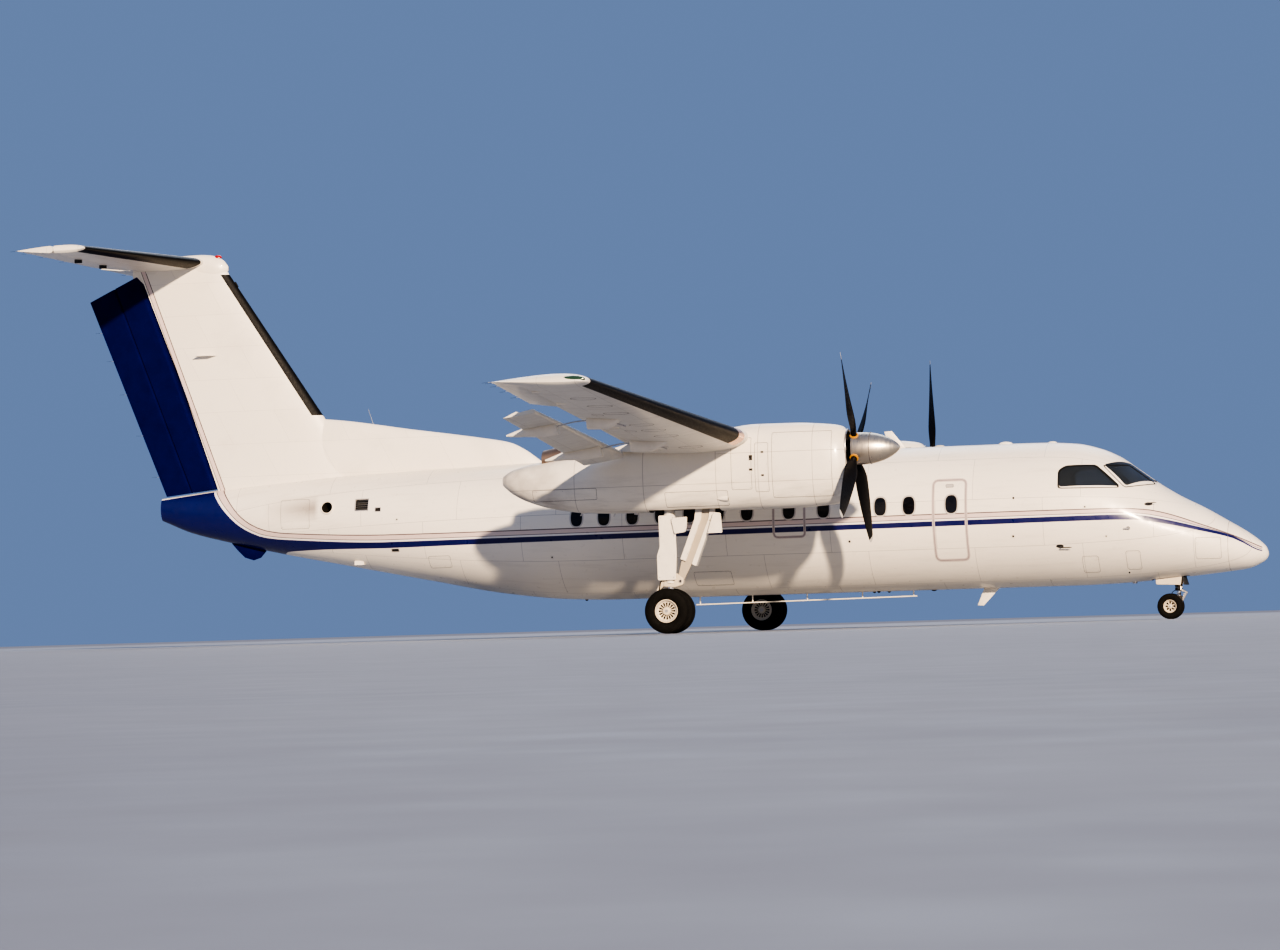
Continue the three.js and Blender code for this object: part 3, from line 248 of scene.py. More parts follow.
def worn(net, color, amount=0.06, scale=2.2):
    """The colour with faint large and small changes of tone."""
    large = net.range(net.noise(scale, 4.0, 0.55), 0.3, 0.7, 0.0, amount * 2)
    fine = net.range(net.noise(scale * 17, 3.0, 0.6), 0.35, 0.75, 0.0, amount)
    return net.mix(net.plus(large, fine), color, scaled(color, 0.55))


def plain(name, color, rough, metal=0.0, coat=0.0, amount=0.1, scale=6.0, grain=0.15, shine=0.5):
    net = Net(name)
    shade = worn(net, color, amount, scale)
    roughness = net.range(net.noise(scale * 5, 4.0), 0.3, 0.7, max(0.03, rough - 0.07), min(1.0, rough + 0.1))
    normal = net.bump(net.noise(scale * 30, 2.0), grain, 0.002)
    return net.done(shade, roughness, metal, coat, normal, Specular_IOR_Level=shine)


BAND_TOP = [
    (0.0, -0.80), (0.11, -0.779), (0.57, -0.508), (1.2, -0.316), (1.79, -0.167), (2.26, -0.083),
    (2.78, -0.071), (3.67, -0.075), (14.48, -0.113), (16.06, -0.11), (18.19, 0.004), (18.68, 0.064),
    (19.12, 0.248), (19.41, 0.491), (19.7, 0.841), (19.84, 1.047), (20.3, 1.6), (21.2, 2.6),
]
BAND_LOW = [
    (0.0, -0.82), (0.11, -0.80), (0.57, -0.551), (1.19, -0.385), (1.79, -0.247), (2.26, -0.172),
    (2.78, -0.164), (4.58, -0.173), (14.49, -0.214), (16.08, -0.223), (17.45, -0.203), (18.3, -0.215),
    (18.8, -0.6), (20.9, -1.0),
]
PIN_TOP = [
    (0.0, -0.76), (0.57, -0.49), (1.2, -0.246), (1.64, -0.086), (2.02, 0.006), (2.58, 0.045), (4.57, 0.048),
    (14.48, 0.02), (16.06, 0.03), (18.19, 0.13), (18.6, 0.19), (19.0, 0.36), (19.25, 0.58), (19.5, 0.9),
    (19.66, 1.1), (21.2, 2.7),
]


def hull_paint():
    """White skin with its cheatline, pinstripes, blue tail, plate seams and stains, and painted shade towards
    the belly.
    """
    net = Net("hull_paint")
    station, height = net.frame()
    turn = net.math("ARCTAN2", net.y, height)
    place = net.vector(net.times(station, 0.52), net.times(turn, 0.62), 0.0)
    plates, seams = net.plates(place, 0.35, 1.0, 0.42, 0.0022, (*PLATE_WHITES, (0.46, 0.43, 0.40)), -0.3)
    streak_place = net.vector(net.times(station, 0.7), net.times(turn, 7.0), 0.0)
    streaks = net.range(net.noise(1.6, 4.0, 0.6, streak_place), 0.52, 0.78, 0.0, 0.16)
    # Painted shade: the skin darkens towards the belly, by height alone, as if in shade.
    belly = net.times(net.range(height, -0.55, -1.25), 0.16)
    soot = net.times(net.range(station, 17.5, 17.6), net.between(height, 0.43, 0.72, 0.12))
    soot = net.times(soot, net.range(station, 18.7, 17.7))
    # Stain streaks, soot and the painted belly shade together darken the skin towards brown.
    darkening = net.plus(net.plus(streaks, belly), net.times(soot, 0.8))
    color = net.mix(darkening, plates, (0.30, 0.255, 0.215))
    places = steps(0.0, 5.0, 0.2) + steps(6.0, 15.0, 1.0) + steps(15.5, 21.2, 0.15)
    top, low, pin = (net.curve(station, [(s, smooth(rows, s, 1)) for s in places])
                     for rows in (BAND_TOP, BAND_LOW, PIN_TOP))
    middle = net.plus(net.times(top, 0.66), net.times(pin, 0.34))
    ahead = net.above(station, 0.1, 0.01)
    steep = net.range(station, 18.6, 19.6, 1.0, 1.9)
    for edge, tint in ((top, (0.80, 0.77, 0.75)), (middle, PINK)):
        color = net.mix(net.times(net.between(height, edge, pin), ahead), color, tint)
    for edge, thick in ((pin, 0.017), (middle, 0.011)):
        line = net.between(height, net.minus(edge, net.times(steep, thick)), edge, 0.003)
        color = net.mix(net.times(line, ahead), color, MAUVE)
    tone = net.range(net.noise(3.0), 0.3, 0.7, 0.0, 0.4)
    blue = net.times(net.between(height, low, top), ahead)
    color = net.mix(blue, color, net.mix(tone, BLUE, (0.003, 0.004, 0.11)))
    lid = net.minus(net.curve(station, [(19.5, 1.03), (20.28, 0.945), (20.87, 0.88)]), 0.03)
    color = net.mix(net.times(net.above(height, lid), net.above(station, 19.72)), color, WHITE)
    rough = net.range(net.noise(9.0, 4.0), 0.3, 0.7, 0.26, 0.46)
    relief = net.plus(net.times(seams, -1.0), net.times(net.noise(1.3, 2.0), 0.9))
    return net.done(color, rough, 0.0, 0.25, net.bump(relief, 0.12, 0.01), Coat_Roughness=0.15)


def wing_paint(name, color=(0.76, 0.725, 0.65), across=1.1):
    """Painted skin with rib and spar seams."""
    net = Net(name)
    place = net.vector(net.y, net.times(net.x, 0.9), 0.0)
    plates, seams = net.plates(place, 0.5, across, 0.55, 0.003,
                               (color, scaled(color, 0.94), scaled(color, 0.6)))
    flow = net.vector(net.times(net.x, 0.6), net.times(net.y, 3.0), 0.0)
    grime = net.range(net.noise(1.1, 4.0, 0.6, flow), 0.5, 0.8, 0.0, 0.3)
    shade = net.mix(grime, plates, (0.33, 0.29, 0.25))
    rough = net.range(net.noise(9.0, 4.0), 0.3, 0.7, 0.3, 0.5)
    return net.done(shade, rough, 0.0, 0.2, net.bump(net.times(seams, -1.0), 0.12, 0.006), Coat_Roughness=0.2)


def fin_paint():
    """White fin with two thin lines and a pink band ahead of the rudder."""
    net = Net("fin_paint")
    station, height = net.frame()
    place = net.vector(net.minus(station, net.times(height, 0.52)), height, 0.0)
    plates, seams = net.plates(place, 0.5, 1.15, 0.62, 0.0025, (*PLATE_WHITES, (0.58, 0.54, 0.48)))
    darkening = net.range(net.noise(1.3, 4.0, 0.6), 0.5, 0.8, 0.0, 0.16)
    color = net.mix(darkening, plates, (0.36, 0.31, 0.26))
    edge = net.plus(net.times(net.minus(height, 1.0), 0.3538), 19.703)
    ahead = net.minus(edge, station)
    for low, high, tint in ((0.047, 0.125, PINK), (0.035, 0.047, MAUVE), (0.125, 0.142, MAUVE)):
        color = net.mix(net.between(ahead, low, high, 0.002), color, tint)
    rough = net.range(net.noise(9.0, 4.0), 0.3, 0.7, 0.28, 0.46)
    return net.done(color, rough, 0.0, 0.25, net.bump(net.times(seams, -1.0), 0.12, 0.006),
                    Coat_Roughness=0.15)


def nacelle_paint():
    """White cowling with its seams, and oil and soot towards the back."""
    net = Net("nacelle_paint")
    station, height = net.frame()
    seams = net.between(height, 0.62, 0.628, 0.003)
    for edge in (7.35, 8.3, 9.05, 10.35, 11.6):
        seams = net.either(seams, net.between(station, edge, edge + 0.01, 0.003))
    seams = net.either(seams, net.times(net.between(height, 1.13, 1.138, 0.003),
                                        net.range(station, 9.1, 9.0)))
    flow = net.vector(net.times(station, 0.8), net.times(net.y, 5.0), net.times(net.z, 5.0))
    oil = net.times(net.range(net.noise(1.7, 5.0, 0.62, flow), 0.48, 0.75), net.range(height, 1.0, 0.2))
    aft = net.range(station, 11.2, 13.0, 0.0, 0.55)
    soot = net.times(aft, net.range(net.noise(2.4, 4.0), 0.3, 0.65))
    color = net.mix(net.plus(net.times(oil, 0.35), soot, True), worn(net, WHITE, 0.05), (0.12, 0.09, 0.07))
    color = net.mix(net.times(seams, 0.6), color, (0.2, 0.18, 0.17))
    rough = net.range(net.noise(8.0, 4.0), 0.3, 0.7, 0.28, 0.5)
    return net.done(color, rough, 0.0, 0.25, net.bump(net.times(seams, -1.0), 0.3, 0.006),
                    Coat_Roughness=0.15)


def rubber(name, color, rough):
    net = Net(name)
    chalk = net.range(net.noise(14.0, 5.0, 0.65), 0.45, 0.8, 0.0, 0.35)
    shade = net.mix(chalk, color, tuple(c * 2.0 + 0.006 for c in color))
    roughness = net.range(net.noise(40.0, 3.0), 0.3, 0.7, rough - 0.1, rough + 0.08)
    return net.done(shade, roughness, 0.0, 0.0, net.bump(net.noise(120.0, 2.0), 0.2, 0.001),
                    Specular_IOR_Level=0.16)


def bare_metal(name, color, rough, heat=0.0):
    net = Net(name)
    brushed = net.noise(6.0, 5.0, 0.6, net.vector(net.times(net.x, 12.0), net.y, net.z))
    tint = net.range(net.noise(2.5, 4.0), 0.35, 0.7, 0.0, 0.25 + heat)
    shade = net.mix(tint, color, tuple(c * k for c, k in zip(color, (0.6, 0.45, 0.4))))
    roughness = net.range(brushed, 0.3, 0.7, rough - 0.08, rough + 0.14)
    return net.done(shade, roughness, 0.92, 0.0, net.bump(brushed, 0.08, 0.002))


def pane_glass():
    net = Net("pane_glass")
    smear = net.range(net.noise(5.0, 5.0, 0.6), 0.35, 0.75, 0.04, 0.14)
    tint = net.mix(net.range(net.noise(1.5, 2.0), 0.3, 0.7), (0.30, 0.33, 0.34), (0.22, 0.25, 0.26))
    return net.done(tint, smear, Transmission_Weight=0.92, IOR=1.45)


# Near-black glass standing in for the unlit cabin behind a pane: painted shade.
def shade_glass(name, color):
    net = Net(name)
    shade = net.mix(net.range(net.noise(4.0, 3.0), 0.3, 0.7), color, scaled(color, 2.2))
    rough = net.range(net.noise(12.0, 3.0), 0.3, 0.7, 0.06, 0.14)
    return net.done(shade, rough, 0.0, 0.1, Specular_IOR_Level=0.35)


def lamp(name, color, strength):
    net = Net(name)
    facets = net.range(net.noise(60.0, 2.0), 0.3, 0.7, 0.6, 1.0)
    net.put(net.mix(facets, scaled(color, 0.6), color), net.shader.inputs["Emission Color"])
    net.put(strength, net.shader.inputs["Emission Strength"])
    return net.done(net.mix(facets, scaled(color, 0.7), color), net.range(facets, 0.6, 1.0, 0.08, 0.2),
                    0.0, 0.3)


HULL = hull_paint()
WING = wing_paint("wing_paint")
MOVING = wing_paint("control_paint", (0.71, 0.68, 0.61), 0.9)
COWL = nacelle_paint()
WHITE_PART = plain("white_part", WHITE, 0.35, 0.0, 0.2)
CREAM = plain("cream_part", (0.66, 0.58, 0.46), 0.42, 0.0, 0.1)
BEIGE = plain("beige_part", (0.46, 0.40, 0.32), 0.5)
BLUE_PAINT = plain("blue_paint", BLUE, 0.6, 0.0, 0.0, 0.25, 3.0, 0.03, 0.03)
BOOT_RUBBER = rubber("boot_rubber", (0.004, 0.004, 0.005), 0.5)
TYRE_RUBBER = rubber("tyre_rubber", (0.006, 0.0055, 0.005), 0.8)
SEAL = rubber("seal_rubber", (0.01, 0.01, 0.01), 0.65)
STEEL = bare_metal("gear_steel", (0.62, 0.60, 0.57), 0.32)
CHROME = bare_metal("oleo_chrome", (0.83, 0.82, 0.80), 0.14)
SPINNER_METAL = bare_metal("spinner_metal", (0.60, 0.55, 0.46), 0.33)
HOT_METAL = bare_metal("exhaust_metal", (0.30, 0.24, 0.20), 0.5, 0.4)
POLISHED = bare_metal("polished_edge", (0.62, 0.42, 0.34), 0.25)
BLADE_BLACK = plain("blade_black", (0.007, 0.007, 0.009), 0.5, 0.0, 0.0, 0.3, 4.0, 0.15, 0.12)
BLADE_TIP = plain("blade_tip", (0.55, 0.53, 0.50), 0.4)
PAD_ORANGE = plain("root_pad", (0.50, 0.24, 0.03), 0.55)
# Near-black trim for dark parts, used also as painted shade: in the nacelle's openings, in a wing inlet and
# on the nose bay's front door.
DARK_TRIM_AND_SHADE = plain("dark_trim_and_painted_shade", (0.022, 0.023, 0.026), 0.6, 0.0, 0.0, 0.3)
# Dark grey paint; on the nose leg it is also painted shade, for the shadow the leg is in.
LEG_DARK_AND_SHADE = plain("leg_dark_and_painted_shade", (0.045, 0.042, 0.04), 0.45, 0.2, 0.0, 0.3)
# Near-black walls of wheel bays and the tail vent: painted shade in these recesses.
BAY_SHADE = plain("bay_painted_shade", (0.05, 0.048, 0.044), 0.7, 0.0, 0.0, 0.4)
SEAT_CLOTH = plain("seat_cloth", (0.03, 0.034, 0.045), 0.9, 0.0, 0.0, 0.4, 12.0, 0.5)
FLOOR_GREY = plain("cabin_floor", (0.20, 0.20, 0.19), 0.8, 0.0, 0.0, 0.3, 9.0, 0.4)
GLASS = pane_glass()
WINDOW_SHADE = shade_glass("window_painted_shade", (0.006, 0.006, 0.008))
WINDOW_RING = plain("window_ring", (0.60, 0.56, 0.52), 0.35, 0.3)
DOOR_BAND = plain("door_band", (0.52, 0.44, 0.42), 0.45)
SEAM = plain("seam_dark", (0.13, 0.12, 0.12), 0.7)
# Near-black soot inside the exhausts; the same colour fills holes, vents, slots and scoop mouths as painted
# shade.
SOOT_AND_SHADE = plain("soot", (0.022, 0.017, 0.015), 0.85, 0.0, 0.0, 0.5)
LAMP_WHITE = lamp("lamp_white", (1.0, 0.72, 0.42), 4.0)
LAMP_RED = lamp("lamp_red", (0.35, 0.012, 0.01), 0.15)
LAMP_GREEN = lamp("lamp_green", (0.025, 0.06, 0.035), 0.05)


# Meshes
class Build:
    """Collects lofts, lathes and plates into one mesh."""

    def __init__(self):
        self.verts, self.faces, self.slots, self.materials = [], [], [], []

    def face(self, corners, material):
        if material not in self.materials:
            self.materials.append(material)
        self.faces.append(corners)
        self.slots.append(self.materials.index(material))

    def loft(self, rings, material, caps=True, closed=True):
        """Rings of equal count; material is one, or one for each gap between rings."""
        first, count = len(self.verts), len(rings[0])
        for ring in rings:
            self.verts += [Vector(p) for p in ring]
        span = count if closed else count - 1
        for r in range(len(rings) - 1):
            paint = material[r] if isinstance(material, list) else material
            for k in range(span):
                a, b = first + r * count + k, first + r * count + (k + 1) % count
                self.face((a, b, b + count, a + count), paint)
        if caps:
            ends = material if isinstance(material, list) else [material]
            self.face(tuple(reversed(range(first, first + count))), ends[0])
            self.face(tuple(range(len(self.verts) - count, len(self.verts))), ends[-1])
        return self

    def hoop(self, rings, material):
        """A loft whose last ring joins its first."""
        first, count = len(self.verts), len(rings[0])
        for ring in rings:
            self.verts += [Vector(p) for p in ring]
        for r in range(len(rings)):
            low, high = first + r * count, first + (r + 1) % len(rings) * count
            for k in range(count):
                after = (k + 1) % count
                self.face((low + k, low + after, high + after, high + k), material)
        return self

    def lathe(self, rows, centre, axis, material, segments=64):
        """Turns (distance along the axis, radius) rows about an axis."""
        axis = Vector(axis).normalized()
        side = Vector((0, 0, 1)) if abs(axis.z) < 0.9 else Vector((1, 0, 0))
        side = (side - axis * side.dot(axis)).normalized()
        other = axis.cross(side)
        rays = [side * math.cos(t) + other * math.sin(t) for t in full_turn(segments)]
        rings = [[centre + axis * along + ray * max(radius, 1e-4) for ray in rays] for along, radius in rows]
        return self.loft(rings, material)

    def rod(self, start, end, radius, material, end_radius=None, segments=20):
        start, end = Vector(start), Vector(end)
        rows = [(0, radius), ((end - start).length, radius if end_radius is None else end_radius)]
        return self.lathe(rows, start, end - start, material, segments)

    def box(self, low, high, material):
        x0, y0, z0 = low
        x1, y1, z1 = high
        rings = [[(x, y0, z0), (x, y1, z0), (x, y1, z1), (x, y0, z1)] for x in (x0, x1)]
        return self.loft(rings, material)

    def plate(self, outline, y0, y1, material):
        """A side-view outline of (station, height) pairs, between two distances from the centre line."""
        return self.loft([[P(s, y, h) for s, h in outline] for y in (y0, y1)], material)

    def moved(self, matrix):
        self.verts = [matrix @ v for v in self.verts]
        return self

    def add(self, other, matrix=None):
        first = len(self.verts)
        self.verts += [matrix @ v for v in other.verts] if matrix else [v.copy() for v in other.verts]
        for corners, material in zip(other.faces, other.slots):
            self.face(tuple(c + first for c in corners), other.materials[material])
        return self

    def object(self, name, body="root", stands_for=(), angle=SKIN_SHARP, mirror=False):
        data = bpy.data.meshes.new(name)
        flip = -1 if mirror else 1
        data.from_pydata([(v.x, v.y * flip, v.z) for v in self.verts], [], self.faces)
        for material in self.materials:
            data.materials.append(material)
        data.polygons.foreach_set("material_index", self.slots)
        obj = bpy.data.objects.new(name, data)
        bpy.context.scene.collection.objects.link(obj)
        outward(data)
        shade(data, angle)
        if body:
            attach(obj, body)
        if stands_for:
            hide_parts(*stands_for)
        return obj


def outward(data):
    """Turns all faces outwards."""
    mesh = bmesh.new()
    mesh.from_mesh(data)
    bmesh.ops.recalc_face_normals(mesh, faces=mesh.faces)
    mesh.to_mesh(data)
    mesh.free()


def shade(data, angle):
    data.polygons.foreach_set("use_smooth", [True] * len(data.polygons))
    data.set_sharp_from_angle(angle=math.radians(angle))
    data.update()


def carve(obj, tools, operation="DIFFERENCE", angle=SKIN_SHARP):
    """Cuts or keeps part of obj with other meshes, which are used up."""
    for tool in tools:
        change = obj.modifiers.new("carve", "BOOLEAN")
        change.operation = operation
        change.object = tool
        change.solver = "EXACT"
        change.material_mode = "TRANSFER"
    bpy.context.view_layer.update()
    seen = obj.evaluated_get(bpy.context.evaluated_depsgraph_get())
    data = bpy.data.meshes.new_from_object(seen)
    obj.modifiers.clear()
    obj.data = data
    for tool in tools:
        bpy.data.objects.remove(tool)
    shade(data, angle)
    return obj


def both_sides(make):
    """make(side, mirror) for the right side, and for the left side, which is mirrored."""
    for side, sign in SIDE_SIGNS:
        make(side, sign > 0)


# Fuselage
FUSELAGE = [
    (0, -0.8, -0.86, 0.04), (0.04, -0.705, -0.93, 0.12), (0.14, -0.6, -1.0, 0.23),
    (0.36, -0.43, -1.085, 0.4), (0.67, -0.235, -1.125, 0.56), (1.11, 0.03, -1.17, 0.75),
    (1.49, 0.23, -1.205, 0.87), (1.85, 0.455, -1.235, 0.97), (2.23, 0.735, -1.26, 1.07),
    (2.6, 1.0, -1.28, 1.145), (2.98, 1.165, -1.292, 1.205), (3.36, 1.255, -1.3, 1.255),
    (3.95, 1.295, -1.3, 1.295), (4.4, 1.3, -1.3, 1.3), (7.95, 1.3, -1.3, 1.3), (12.0, 1.3, -1.298, 1.3),
    (12.9, 1.298, -1.265, 1.29), (14.05, 1.28, -1.135, 1.225), (15.56, 1.24, -0.84, 1.075),
    (17.06, 1.195, -0.535, 0.85), (18.57, 1.11, -0.225, 0.59), (19.5, 1.03, -0.005, 0.41),
    (20.28, 0.945, 0.205, 0.265), (20.87, 0.88, 0.455, 0.13),
]


def hull_shape(station):
    return [smooth(FUSELAGE, station, k) for k in (1, 2, 3)]


def cross(station, y, top, bottom, half, power=2.0, sides=SIDES, grow=0.0):
    middle, high = (top + bottom) / 2, (top - bottom) / 2 + grow
    ring = []
    for k in range(sides):
        c, s = math.cos(2 * math.pi * k / sides), math.sin(2 * math.pi * k / sides)
        across = math.copysign(abs(c) ** (2 / power), c) * (half + grow)
        ring.append(P(station, y + across, middle + math.copysign(abs(s) ** (2 / power), s) * high))
    return ring


def hull_ring(station, grow=0.0, sides=SIDES):
    return cross(station, 0, *hull_shape(station), 2.0, sides, grow)


def hull_skin(station, height, side=-1, lift=0.0):
    """The point of the skin at a height, on one side, and its outward normal."""
    top, bottom, half = hull_shape(station)
    middle, high = (top + bottom) / 2, (top - bottom) / 2
    t = max(-1.0, min(1.0, (height - middle) / high))
    c = math.sqrt(1 - t * t)
    normal = Vector((0, side * c / half, t / high)).normalized()
    return P(station, side * half * c, height) + normal * lift, normal


def hull_part(name, stations, stands_for):
    return Build().loft([hull_ring(s) for s in stations], HULL).object(name, stands_for=[stands_for])


# Facing direction, and corners as (station, height, distance from the centre line)
PANES = {
    "windscreen": ((-0.552, 0.731, 0.401),
                   [(1.925, 0.465, 0.085), (2.42, 0.41, 0.87), (2.81, 0.82, 0.73), (2.395, 0.825, 0.08)]),
    "side_window": ((-0.187, 0.44, 0.878),
                    [(2.5, 0.41, 0.9), (2.93, 0.83, 0.79), (3.44, 0.83, 0.93), (3.57, 0.75, 0.98),
                     (3.57, 0.425, 1.13)]),
}


def rounded(ring, radius, count=5):
    """A flat outline with its corners rounded."""
    made = []
    for k, corner in enumerate(ring):
        before, after = ring[k - 1], ring[(k + 1) % len(ring)]
        a = corner + (before - corner).normalized() * min(radius, (before - corner).length / 2.2)
        b = corner + (after - corner).normalized() * min(radius, (after - corner).length / 2.2)
        for i in range(count + 1):
            t = i / count
            made.append(a * (1 - t) ** 2 + corner * 2 * t * (1 - t) + b * t**2)
    return made


def grown(ring, size):
    """The outline with each point moved away from its middle."""
    middle = sum(ring, Vector()) / len(ring)
    return [middle + (p - middle) * (1 + size / (p - middle).length) for p in ring]


def pane_block(name, grow, mirror, material=SEAL):
    """A block through the hull in the outline of a pane."""
    facing, corners = PANES[name]
    out = Vector((-facing[0], -facing[2], facing[1])).normalized()
    ring = rounded(grown([P(s, -y, h) for s, h, y in corners], grow), 0.06)
    made = Build().loft([[p + out * d for p in ring] for d in (-PANE_REACH, PANE_REACH)], material)
    return made.object("tool", None, mirror=mirror)


def station_box(front, back, y0, y1, low, high, material):
    made = Build().box((LENGTH / 2 - back, y0, AXIS + low), (LENGTH / 2 - front, y1, AXIS + high), material)
    return made.object("tool", None)


def hull_core(stations, depth, material, sides=SIDES):
    """The inside of the hull, to cut with."""
    return Build().loft([hull_ring(s, -depth, sides) for s in stations], material).object("tool", None)


def cockpit():
    """The cockpit's shell, hollow behind its panes, and the panes."""
    skin = hull_part("cockpit_skin", steps(0.67, 3.95, 0.08), "cockpit_section")
    inner = hull_core(steps(1.8, 4.4, 0.15), 0.06, DARK_TRIM_AND_SHADE, 64)
    carve(inner, [station_box(1.8, 4.4, -2, 2, -0.6, 2, DARK_TRIM_AND_SHADE)], "INTERSECT")
    # The nose wheel bay is cut with near-black walls, painted shade in the recess.
    tools = [inner, station_box(1.4, 2.08, -0.185, 0.185, -2, -0.74, BAY_SHADE)]
    tools += [pane_block(name, 0.0, mirror) for name in PANES for mirror in (False, True)]
    carve(skin, tools, angle=28)
    for name in PANES:
        for side, sign in SIDE_SIGNS:
            shell = Build().loft([hull_ring(s, -0.004) for s in steps(1.4, 3.95, 0.08)], GLASS)
            pane = shell.object(f"{name}_{side}_pane")
            carve(pane, [hull_core(steps(1.39, 3.96, 0.08), 0.022, GLASS)])
            carve(pane, [pane_block(name, -0.002, sign > 0, GLASS)], "INTERSECT")
            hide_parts(f"{name}_{side}")


def entrance():
    """The forward hull with its lobby, the door and the steps on the door's inside."""
    forward = hull_part("forward_skin", steps(3.95, 7.95, 0.2), "forward_fuselage")
    lobby = hull_core(steps(3.95, 7.95, 0.4), 0.08, FLOOR_GREY)
    carve(lobby, [station_box(4.86, 5.84, -0.25, 1.15, -0.86, 1.0, FLOOR_GREY)], "INTERSECT")
    carve(forward, [lobby, station_box(4.97, 5.73, 0.3, 2.0, -0.86, 0.79, SEAL)])
    shell = Build().loft([hull_ring(s) for s in steps(4.0, 7.9, 0.1)], HULL)
    door = shell.object("passenger_door", "airstair", ["airstair_door"])
    carve(door, [hull_core(steps(3.9, 8.0, 0.1), 0.06, DARK_TRIM_AND_SHADE)])
    carve(door, [station_box(4.978, 5.722, 0.3, 2.0, -0.8596, 0.782, SEAL)], "INTERSECT")
    treads = Build()
    back, front = LENGTH / 2 - 5.64, LENGTH / 2 - 5.06
    for height in (-0.56, -0.23, 0.1, 0.43):
        skin = math.sqrt(HULL_RADIUS**2 - height**2)
        low, high = AXIS + height - 0.018, AXIS + height + 0.018
        for lift in (0.0, 0.03):
            treads.box((back, skin - 0.3, low + lift), (front, skin - 0.04, low + lift + 0.006), FLOOR_GREY)
        for station in (5.07, 5.63):
            x = LENGTH / 2 - station
            treads.box((x - 0.01, skin - 0.3, low), (x + 0.01, skin - 0.04, high), STEEL)
        treads.box((back, skin - 0.3, low), (front, skin - 0.285, high), CREAM)
    treads.object("door_steps", "airstair")


nose_stations = [0, 0.004, 0.012, 0.025, 0.04, 0.065, 0.1, 0.14, 0.19, 0.25] + steps(0.3, 0.67, 0.06)
hull_part("radome_skin", nose_stations, "radome")
cockpit()
entrance()
hull_part("centre_skin", steps(7.95, 12.9, 0.3), "centre_fuselage")
hull_part("rear_skin", steps(12.9, 19.5, 0.15), "rear_fuselage")
hull_part("tail_skin", steps(19.5, 20.87, 0.1), "tail_cone")

# Wings and tail
UPPER, LOWER = 1.12, 0.88
CONTROL_GAP = 0.009
FLAP_REST = 15
BOOT_STEPS, BOOT_LIFT = 9, 0.0022


def section_of(surface, t):
    names = ("station", "y", "height", "chord", "thick", "twist", "hinge")
    made = {n: lerp(a, b, t) for n, a, b in zip(names, surface["root"], surface["tip"])}
    made["twist"] = math.radians(made["twist"])
    made["upright"] = surface.get("upright", False)
    return made


def on_section(s, aft, off):
    if s["upright"]:
        return P(s["station"] + aft * s["chord"], off * s["chord"], s["height"])
    along = aft * math.cos(s["twist"]) + off * math.sin(s["twist"])
    high = off * math.cos(s["twist"]) - aft * math.sin(s["twist"])
    return P(s["station"] + along * s["chord"], s["y"], s["height"] + high * s["chord"])


def foil(thick, aft):
    x = min(max(aft, 0.0), 1.0)
    return 5 * thick * (0.2969 * math.sqrt(x) - 0.126 * x - 0.3516 * x**2 + 0.2843 * x**3 - 0.1015 * x**4)


def shares(s):
    return (1.0, 1.0) if s["upright"] or s.get("plain") else (UPPER, LOWER)


def foil_outline(s, end=1.0, count=28):
    up, down = shares(s)
    xs = [end * (1 - math.cos(math.pi * i / (2 * count))) for i in range(count + 1)]
    top = [on_section(s, x, up * foil(s["thick"], x)) for x in reversed(xs)]
    return top + [on_section(s, x, -down * foil(s["thick"], x)) for x in xs[1:]]


def edge_of(s):
    return s["hinge"] - foil(s["thick"], s["hinge"]) - CONTROL_GAP / s["chord"]


def hinged_outline(s, count=16):
    up, down = shares(s)
    h = s["hinge"]
    radius = foil(s["thick"], h) * min(up, down)
    middle = foil(s["thick"], h) * (up - down) / 2
    nose = [on_section(s, h + radius * math.cos(a), middle + radius * math.sin(a))
            for a in (math.pi / 2 + math.pi * i / count for i in range(count + 1))]
    tail = [lerp(h, 1, share) for share in (0.12, 0.3, 0.5, 0.7, 0.85, 0.97)]
    top = [on_section(s, x, up * foil(s["thick"], x)) for x in reversed(tail)]
    bottom = [on_section(s, x, -down * foil(s["thick"], x)) for x in tail]
    return [on_section(s, 1, 0)] + top + nose + bottom


ROOT = (8.47, -4.44, 1.4, 2.47, 0.18, 3, 0.76)
WING_SPAN = {"root": ROOT, "tip": (9.11, -12.72, 1.96, 1.56, 0.14, -1.5, 0.74)}
CENTRE_SPAN = {"root": ROOT, "tip": (8.47, 4.44, 1.4, 2.47, 0.18, 3, 0.76)}
COVE, SHROUD_END, FLAP_NOSE, FLAP_STEP = 0.69, 0.86, 0.705, 0.845


def wing_at(y):
    return section_of(WING_SPAN, (y - 4.44) / (12.72 - 4.44))


def centre_at(y):
    return {**section_of(CENTRE_SPAN, 0), "y": -y}


def cove_outline(s, count=26):
    """The fixed wing ahead of and above a flap."""
    def under(x):
        return UPPER * foil(s["thick"], x) - lerp(0.03, 0.006, (x - COVE) / (SHROUD_END - COVE))

    tops = [SHROUD_END * (1 - math.cos(math.pi * i / (2 * count))) for i in range(count + 1)]
    lows = [COVE * (1 - math.cos(math.pi * i / (2 * count))) for i in range(count + 1)]
    ring = [on_section(s, x, UPPER * foil(s["thick"], x)) for x in reversed(tops)]
    ring += [on_section(s, x, -LOWER * foil(s["thick"], x)) for x in lows[1:]]
    return ring + [on_section(s, x, under(x)) for x in (COVE, lerp(COVE, SHROUD_END, 0.5), SHROUD_END)]


